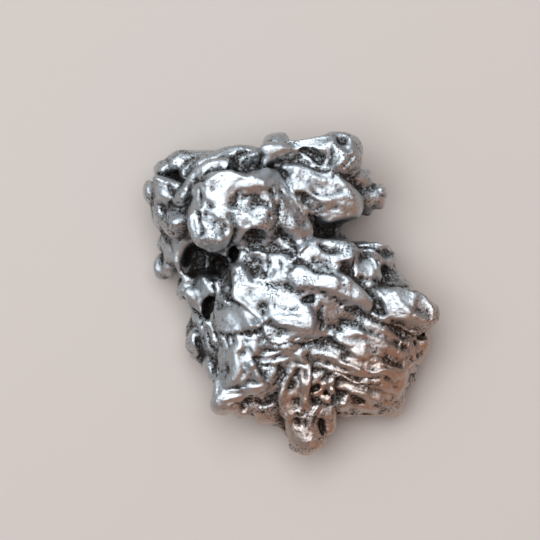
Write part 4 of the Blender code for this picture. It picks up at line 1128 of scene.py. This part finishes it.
class Skin:
    """The meshed lump, as points that strokes and noise move."""

    def __init__(self, points, faces):
        self.points = points
        self.faces = faces
        pairs = np.vstack([faces[:, [i, (i + 1) % 4]] for i in range(4)])
        self.pairs = np.vstack([pairs, pairs[:, ::-1]])
        self.links = np.bincount(self.pairs[:, 0], minlength=len(points))

    def average(self, values):
        """Each point's mean of its neighbours' values."""
        sums = [
            np.bincount(self.pairs[:, 0], weights=column[self.pairs[:, 1]], minlength=len(self.points))
            for column in values.T
        ]
        return np.stack(sums, axis=1) / self.links[:, None]

    def relaxed(self, values, passes):
        """Values that are spread over their neighbours, pass by pass."""
        for _ in range(passes):
            values = (values + self.average(values)) / 2
        return values

    def normals(self):
        """Unit normals at the points."""
        a, b, c, d = (self.points[self.faces[:, i]] for i in range(4))
        face_normals = np.cross(c - a, d - b)
        sums = np.zeros_like(self.points)
        for i in range(4):
            for axis in range(3):
                sums[:, axis] += np.bincount(self.faces[:, i], face_normals[:, axis], len(sums))
        return sums / np.maximum(np.linalg.norm(sums, axis=1, keepdims=True), TINY)

    def flatten(self, facets, metal):
        """Flattens the topmost skin within each facet's outline."""
        for facet in facets:
            outline = np.array(facet.outline)
            plan = self.points[:, :2]
            low = outline.min(axis=0) - FACET_EDGE
            high = outline.max(axis=0) + FACET_EDGE
            near = np.flatnonzero(np.all((plan > low) & (plan < high), axis=1))
            near = near[self.points[near, 2] > metal.top(plan[near]) - FACET_REACH]
            plan = plan[near]
            gap = np.full(len(near), np.inf)
            inside = np.zeros(len(near), bool)
            for start, end in zip(outline, np.roll(outline, -1, axis=0)):
                offset, run, distance = from_segment(plan, start, end)
                gap = np.minimum(gap, distance)
                # A place is inside where a line to its right crosses the outline an odd number of times.
                spans = (start[1] > plan[:, 1]) != (end[1] > plan[:, 1])
                crossing = start[0] + run[0] * offset[:, 1] / (run[1] or 1)
                inside ^= spans & (plan[:, 0] < crossing)
            depth = np.where(inside, gap, -gap)
            share = FACET_FIRMNESS * eased(np.clip(0.5 + depth / FACET_EDGE, 0, 1))
            heights = self.points[near, 2]
            middle = plan[inside].mean(axis=0)
            plane = heights[inside].mean() + facet.lift + (plan - middle) @ facet.slope
            self.points[near, 2] += share * (plane - heights)

    def draw(self, strokes, metal):
        """Moves the skin along the strokes."""
        normals = self.normals()
        moves = np.zeros(len(self.points))
        for stroke in strokes:
            plan = smooth_path(stroke.points, TUBE_SPACING)
            tops = np.pad(metal.top(plan), PATH_EVENING // 2, "edge")
            heights = np.convolve(tops, np.full(PATH_EVENING, 1 / PATH_EVENING), "valid")
            path = np.column_stack([plan, heights])
            near = np.flatnonzero(
                np.all(self.points > path.min(axis=0) - stroke.width, axis=1)
                & np.all(self.points < path.max(axis=0) + stroke.width, axis=1)
            )
            gap = np.full(len(near), np.inf)
            side = np.ones(len(near))
            for start, end in zip(path, path[1:]):
                offset, run, distance = from_segment(self.points[near], start, end)
                closer = distance < gap
                gap[closer] = distance[closer]
                left = np.where(run[0] * offset[:, 1] > run[1] * offset[:, 0], 1, -1)
                side[closer] = left[closer]
            fall = np.clip(1 - gap / stroke.width, 0, 1)
            if isinstance(stroke, Ledge):
                moves[near] += stroke.rise * side * fall * fall
            else:
                profile = (1 - stroke.sharp) * eased(fall) + stroke.sharp * fall * fall
                moves[near] += stroke.rise * profile
        self.points = self.points + moves[:, None] * normals

    def warp(self, layers):
        """Shifts the skin to and fro by noise, one layer for each (grain, shift, seed)."""
        shift = np.zeros_like(self.points)
        for grain, most, seed in layers:
            for axis in range(3):
                shift[:, axis] += most * noise(self.points, grain, seed + axis)
        shift[:, 2] *= np.clip(self.points[:, 2] / WARP_RISE, 0, 1)
        self.points = self.points + shift

    def weather(self, layers):
        """Raises and sinks the skin by noise, one layer for each (grain, height, seed).

        Small pits and the striae of the slope come with it.
        """
        normals = self.normals()
        rise = np.zeros(len(self.points))
        flank = np.clip((FLANK_TOP - self.points[:, 2]) / FLANK_FADE, FLANK_LEAST, 1)
        rubbed = np.clip(RUBBED_LEVEL - RUBBED_FALL * self.hollowness(), 0, 1)
        rough = 1 - RUBBED_SMOOTH * rubbed
        for grain, height, seed in layers:
            folds = noise(self.points, grain, seed)
            creases = np.abs(noise(self.points, grain, seed + CREASE_SEEDS))
            share = flank if grain > FINE_GRAIN else rough
            rise += share * height * (FOLD_SHARE * folds + CREASE_SHARE * creases - CREASE_LEVEL)
        for grain, depth, rarity, seed in PITS:
            rise -= rough * depth * np.clip((noise(self.points, grain, seed) - rarity) / PIT_EDGE, 0, 1)
        rise += self.striae()
        worn = np.clip(self.points[:, 2] / WORN_RISE, 0, 1)
        self.points = self.points + (rise * worn)[:, None] * normals

    def striae(self):
        """The height of the fine ribs at each point, fading towards the edge of their region."""
        sine = math.sin(STRIAE_TURN)
        cosine = math.cos(STRIAE_TURN)
        x, y, z = self.points.T
        ribs = np.column_stack(
            [
                (cosine * x + sine * y) / STRIAE_LONG,
                (cosine * y - sine * x) / STRIAE_SHORT,
                z / STRIAE_DEEP,
            ]
        )
        from_centre = np.linalg.norm((self.points[:, :2] - STRIAE_CENTRE) / STRIAE_HALF, axis=1)
        share = np.clip((STRIAE_REACH - from_centre) / STRIAE_FADE, 0, 1)
        return share * STRIAE_HEIGHT * noise(ribs, 1.0, STRIAE_SEED)

    def hollowness(self):
        """How deep each point lies between its neighbours, below 0 on crests and above 0 in hollows."""
        normals = self.normals()
        total = np.zeros(len(self.points))
        for passes, full_depth in HOLLOW_SIZES:
            rise = ((self.relaxed(self.points, passes) - self.points) * normals).sum(axis=1)
            total += np.clip(rise / full_depth, *HOLLOW_LIMITS)
        return total


def build_lump(settings):
    """The sculpted lump as an object, marked with how hollow each place is and how much sky it sees."""
    metal = Metal(settings.grid_step / MM)
    for form in METAL:
        metal.merge(form)
    knobs, dents = knobs_and_dents(metal)
    for knob in knobs:
        metal.merge(knob)
    for form in HOLLOWS + tuple(dents):
        metal.carve(form)
    for crumb in CRUMBS:
        metal.merge(crumb)
    metal.wear_flat()
    skin = Skin(*metal.mesh())
    skin.points = skin.relaxed(skin.points, settings.smoothing)
    open_sky = metal.openness(skin.points, skin.normals())
    skin.flatten(FACETS, metal)
    skin.draw(STROKES, metal)
    skin.warp(WARP)
    skin.weather(WEATHER)
    hollow = skin.hollowness()
    low = skin.points.min(axis=0)
    high = skin.points.max(axis=0)
    centre = np.array([(low[0] + high[0]) / 2, (low[1] + high[1]) / 2, low[2]])
    mesh = bpy.data.meshes.new("meteorite")
    mesh.from_pydata(((skin.points - centre) * MM).tolist(), [], skin.faces.tolist())
    mesh.shade_smooth()
    for name, values in (("hollow", hollow), ("open_sky", open_sky)):
        mark = mesh.attributes.new(name, "FLOAT", "POINT")
        mark.data.foreach_set("value", values.astype(np.float32))
    return add_object("meteorite_skin", mesh)


def add(tree, kind, settings=None, links=None):
    """Adds a node. Settings are options or values of inputs, and links are outputs that inputs take."""
    node = tree.nodes.new(kind)
    for name, value in (settings or {}).items():
        if isinstance(name, int) or name in node.inputs:
            node.inputs[name].default_value = value
        else:
            setattr(node, name, value)
    for name, output in (links or {}).items():
        tree.links.new(output, node.inputs[name])
    return node


def mapped(tree, value, start, end, low, high):
    """A value that is carried from the range start to end over to the range low to high."""
    spread = {"From Min": start, "From Max": end, "To Min": low, "To Max": high}
    return add(tree, "ShaderNodeMapRange", spread, {"Value": value}).outputs["Result"]


def combined(tree, operation, first, second):
    """Two values carried through one arithmetic operation."""
    options = {"operation": operation}
    return add(tree, "ShaderNodeMath", options, {0: first, 1: second}).outputs["Value"]


def pattern(tree, place, size, detail, roughness):
    """Noise whose lumps are about a size across, in metres."""
    options = {"Scale": 1 / size, "Detail": detail, "Roughness": roughness}
    return add(tree, "ShaderNodeTexNoise", options, {"Vector": place}).outputs["Fac"]


def along(tree, direction, place):
    """How far a place lies along a direction."""
    options = {"operation": "DOT_PRODUCT", 1: direction}
    return add(tree, "ShaderNodeVectorMath", options, {0: place}).outputs["Value"]


def oxide_and_painted_shade(tree, place, settings):
    """How dark each place is, from 0 on the crests to 1: oxide in hollows and specks, with painted shade
    where a place sees little sky, on the low left flank and in deep caves.
    """
    hollow = add(tree, "ShaderNodeAttribute", {"attribute_name": "hollow"}).outputs["Fac"]
    open_sky = add(tree, "ShaderNodeAttribute", {"attribute_name": "open_sky"}).outputs["Fac"]
    # Painted shade: places that see little sky are darkened.
    low_sky_shade = mapped(tree, open_sky, *SKY_SHADE_RANGE)
    # Painted shade that darkens the low left flank.
    flank_shade = mapped(tree, along(tree, FLANK_SHADE_DIRECTION, place), *FLANK_SHADE)
    painted_shade = combined(tree, "ADD", low_sky_shade, flank_shade)
    depth = mapped(tree, combined(tree, "ADD", hollow, painted_shade), *OXIDE_AND_SHADE_DEPTH)
    # Dark specks on the rubbed metal are denser in some patches than in others.
    patches = pattern(tree, place, settings.patch_size, *PATCH_NOISE)
    rarity = mapped(tree, patches, *SPECK_RARITY)
    specks = pattern(tree, place, settings.speck_size, *SPECK_NOISE)
    pitting = mapped(tree, combined(tree, "SUBTRACT", specks, rarity), *SPECK_EDGE)
    # In the hollows, grains of bare metal show through the oxide. The deep caves, which see little sky,
    # are painted plain dark as shade.
    mottled = combined(tree, "MULTIPLY", depth, mapped(tree, specks, *BARE_GRAINS))
    mottled = combined(tree, "MAXIMUM", mottled, mapped(tree, open_sky, *CAVE_SHADE))
    return mapped(tree, combined(tree, "ADD", mottled, pitting), *WHOLE)


def nickel_iron(settings):
    """Meteoritic nickel-iron, tumbled and rubbed bright, with black oxide left in the hollows.

    The crests look like satin steel and turn white where they face a light. Creases and specks are
    brown-black and dull with oxide, and painted shade darkens the caves, the places that see little sky
    and the low left flank. The low side towards the slope and the foot has a breath of rust, which also
    stands in for a painted warm reflection.
    """
    material = bpy.data.materials.new("rubbed_nickel_iron")
    material.use_nodes = True
    tree = material.node_tree
    tree.nodes.clear()
    place = add(tree, "ShaderNodeTexCoord").outputs["Object"]
    oxide_and_shade = oxide_and_painted_shade(tree, place, settings)

    metal = add(tree, "ShaderNodeValToRGB", links={"Fac": oxide_and_shade})
    ramp = metal.color_ramp
    ramp.elements[0].color = [*settings.bright_colour, 1]
    ramp.elements[1].color = [*settings.oxide_and_shade_colour, 1]
    ramp.elements.new(DULL_PLACE).color = [*settings.dull_colour, 1]
    # Rust on the low side towards the slope and the foot, which is also a painted warm reflection.
    lowness = along(tree, RUST_AND_REFLECTION_DIRECTION, place)
    patches = pattern(tree, place, settings.patch_size, *RUST_AND_REFLECTION_NOISE)
    rust_and_reflection = combined(
        tree,
        "MULTIPLY",
        mapped(tree, lowness, RUST_AND_REFLECTION_START, RUST_AND_REFLECTION_END, 0.0, settings.rust_and_reflection),
        mapped(tree, patches, *RUST_AND_REFLECTION_PATCHES),
    )
    colour = add(
        tree,
        "ShaderNodeMix",
        {"data_type": "RGBA", "blend_type": "MULTIPLY", COLOUR_B: [*settings.rust_and_reflection_colour, 1]},
        {"Factor": rust_and_reflection, COLOUR_A: metal.outputs["Color"]},
    ).outputs[COLOUR_RESULT]

    # Scratches and grain of the real skin are finer than a pixel of the view, so this grain is coarser.
    grain = pattern(tree, place, settings.grain_size, *GRAIN_NOISE)
    bump = add(
        tree,
        "ShaderNodeBump",
        {"Distance": settings.grain_depth},
        {"Height": grain, "Strength": mapped(tree, oxide_and_shade, *GRAIN_STRENGTH)},
    ).outputs["Normal"]
    shader = add(
        tree,
        "ShaderNodeBsdfPrincipled",
        {"Metallic": 1.0},
        {
            "Base Color": colour,
            "Roughness": mapped(tree, oxide_and_shade, 0.0, 1.0, settings.roughness, settings.oxide_roughness),
            "Normal": bump,
        },
    ).outputs["BSDF"]
    add(tree, "ShaderNodeOutputMaterial", links={"Surface": shader})
    return material


def matt_card(colour):
    """Matt painted card, which gives an even pale floor with soft shadows and no shine."""
    material = bpy.data.materials.new("matt_card")
    material.use_nodes = True
    shader = material.node_tree.nodes["Principled BSDF"]
    shader.inputs["Base Color"].default_value = [*colour, 1]
    shader.inputs["Roughness"].default_value = CARD_ROUGHNESS
    return material


def add_object(name, data):
    """An object for the data, in the scene."""
    made = bpy.data.objects.new(name, data)
    bpy.context.scene.collection.objects.link(made)
    return made


def add_softbox(settings):
    """A broad soft light overhead, a little to the far left, that turns the level facets white."""
    light = bpy.data.lights.new("softbox", "AREA")
    light.shape = "RECTANGLE"
    light.size, light.size_y = settings.softbox_size
    light.energy = settings.softbox_power
    light.color = settings.softbox_colour
    softbox = add_object("softbox", light)
    softbox.location = settings.softbox_place
    softbox.rotation_euler = softbox.location.to_track_quat("Z", "Y").to_euler()


def room_light(settings):
    """Light from all round: a cool dome, brightest at the far left, and a warm wall, near right."""
    world = bpy.data.worlds.new("room")
    world.use_nodes = True
    tree = world.node_tree
    facing = add(tree, "ShaderNodeTexCoord").outputs["Generated"]
    dome = add(tree, "ShaderNodeValToRGB", links={"Fac": along(tree, DOME_DIRECTION, facing)})
    ramp = dome.color_ramp
    ramp.elements[0].color = [*linear(DOME_COLOURS[0][1]), 1]
    ramp.elements[1].color = [*linear(DOME_COLOURS[-1][1]), 1]
    for height, colour in DOME_COLOURS[1:-1]:
        ramp.elements.new(height).color = [*linear(colour), 1]
    room = add(
        tree,
        "ShaderNodeMix",
        {"data_type": "RGBA", COLOUR_B: [*settings.wall_colour, 1]},
        {
            "Factor": mapped(tree, along(tree, WALL_DIRECTION, facing), *WALL_SPREAD),
            COLOUR_A: dome.outputs["Color"],
        },
    ).outputs[COLOUR_RESULT]
    background = tree.nodes["Background"]
    background.inputs["Strength"].default_value = settings.room_strength
    tree.links.new(room, background.inputs["Color"])
    return world


def add_camera(settings):
    """A camera straight above, as far up as its lens needs to take in the whole photograph."""
    lens = bpy.data.cameras.new("camera")
    lens.lens = settings.lens
    lens.sensor_width = SENSOR_WIDTH
    distance = PHOTO_PIXELS * PIXEL_SIZE * settings.lens / SENSOR_WIDTH
    camera = add_object("camera", lens)
    camera.location = Vector((*PHOTO_MIDDLE, VIEW_HEIGHT + distance)) * MM
    return camera


def colour_setting(name, description, value):
    """A colour that a user can change, from an sRGB hex value."""
    return FloatVectorProperty(
        name=name, description=description, default=linear(value), subtype="COLOR", min=0, max=1
    )


def share_setting(name, description, value):
    """A share from 0 to 1 that a user can change."""
    return FloatProperty(
        name=name, description=description, default=value, subtype="FACTOR", min=0, max=1
    )


def length_setting(name, description, value):
    """A small length that a user can change, from a value in millimetres."""
    return FloatProperty(
        name=name,
        description=description,
        default=value * MM,
        unit="LENGTH",
        precision=5,
        min=LEAST_LENGTH,
    )


class LumpSettings(bpy.types.PropertyGroup):
    """Sizes and colours of the lump."""

    grid_step: length_setting("Grid step", "Spacing of the grid that the lump is sculpted on", 0.36)
    smoothing: IntProperty(
        name="Smoothing", description="Passes that round the sculpted skin", default=4, min=0
    )
    bright_colour: colour_setting("Bright metal", "Colour of the rubbed crests", "c0c4c7")
    dull_colour: colour_setting("Dull metal", "Colour between the crests and the hollows", "8a8d8f")
    # The oxide colour is also the colour of the painted shade.
    oxide_and_shade_colour: colour_setting("Oxide", "Colour in the hollows", "342d28")
    # The rust tint also stands in for a painted warm reflection.
    rust_and_reflection_colour: colour_setting("Rust", "Tint of the rusted side", "ffdcc6")
    rust_and_reflection: share_setting("Rust amount", "How much the rusted side is tinted", 0.9)
    roughness: share_setting("Roughness", "Roughness of the rubbed crests", 0.33)
    oxide_roughness: share_setting("Oxide roughness", "Roughness in the hollows", 0.6)
    patch_size: length_setting("Patch size", "Size of the patches with more or fewer specks", 5.0)
    speck_size: length_setting("Speck size", "Size of the dark specks", 0.38)
    grain_size: length_setting("Grain size", "Size of the fine grain of the metal", 0.5)
    grain_depth: length_setting("Grain depth", "How far the fine grain seems to stand out", 0.22)


class StageSettings(bpy.types.PropertyGroup):
    """Sizes and colours of the stage."""

    floor_colour: colour_setting("Floor", "Colour of the floor", "b9aea6")
    floor_size: FloatProperty(
        name="Floor size", description="Width of the floor", default=3.0, unit="LENGTH"
    )
    lens: FloatProperty(
        name="Lens", description="Focal length of the camera", default=180.0, unit="CAMERA"
    )
    softbox_size: FloatVectorProperty(
        name="Softbox size",
        description="Width and depth of the light overhead",
        default=(0.62, 0.50),
        size=2,
        unit="LENGTH",
    )
    softbox_place: FloatVectorProperty(
        name="Softbox place",
        description="Middle of the light overhead",
        default=(-0.10, 0.12, 0.62),
        subtype="TRANSLATION",
        unit="LENGTH",
    )
    softbox_power: FloatProperty(
        name="Softbox power", description="Power of the light overhead", default=5.0, unit="POWER"
    )
    softbox_colour: colour_setting("Softbox colour", "Colour of the light overhead", "f0f8ff")
    wall_colour: colour_setting("Warm wall", "Colour of the light from the near right", "b5815f")
    room_strength: FloatProperty(
        name="Room strength", description="Brightness of the light from all round", default=1.05, min=0
    )


class METEORITE_OT_lump(bpy.types.Operator):
    """Sculpts the lump and gives it its finish"""

    bl_idname = "meteorite.lump"
    bl_label = "Sculpt lump"

    def execute(self, context):
        lump = build_lump(context.scene.meteorite_lump)
        lump.data.materials.append(nickel_iron(context.scene.meteorite_lump))
        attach(lump, "root")
        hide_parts("meteorite")
        return {"FINISHED"}


class METEORITE_OT_stage(bpy.types.Operator):
    """Sets out the floor, the lights and the camera"""

    bl_idname = "meteorite.stage"
    bl_label = "Set stage"

    def execute(self, context):
        settings = context.scene.meteorite_stage
        bpy.ops.mesh.primitive_plane_add(size=settings.floor_size)
        floor = context.object
        floor.name = "floor"
        floor.data.materials.append(matt_card(settings.floor_colour))
        add_softbox(settings)
        context.scene.world = room_light(settings)
        context.scene.view_settings.view_transform = "Standard"
        context.scene.camera = add_camera(settings)
        return {"FINISHED"}


class METEORITE_PT_panel(bpy.types.Panel):
    """Settings and steps of the meteorite"""

    bl_idname = "METEORITE_PT_panel"
    bl_label = "Iron meteorite"
    bl_space_type = "VIEW_3D"
    bl_region_type = "UI"
    bl_category = "Meteorite"

    def draw(self, context):
        layout = self.layout
        for settings, step in (
            (context.scene.meteorite_lump, METEORITE_OT_lump),
            (context.scene.meteorite_stage, METEORITE_OT_stage),
        ):
            box = layout.box()
            for name in settings.__annotations__:
                box.prop(settings, name)
            box.operator(step.bl_idname)


CLASSES = (LumpSettings, StageSettings, METEORITE_OT_lump, METEORITE_OT_stage, METEORITE_PT_panel)


def register():
    """Adds the steps, the panel and the settings to Blender."""
    for cls in CLASSES:
        bpy.utils.register_class(cls)
    bpy.types.Scene.meteorite_lump = PointerProperty(type=LumpSettings)
    bpy.types.Scene.meteorite_stage = PointerProperty(type=StageSettings)


def unregister():
    """Takes them out again."""
    del bpy.types.Scene.meteorite_stage
    del bpy.types.Scene.meteorite_lump
    for cls in reversed(CLASSES):
        bpy.utils.unregister_class(cls)


def main():
    """Builds the lump and its stage."""
    register()
    bpy.ops.meteorite.lump()
    bpy.ops.meteorite.stage()


if __name__ == "__main__":
    main()
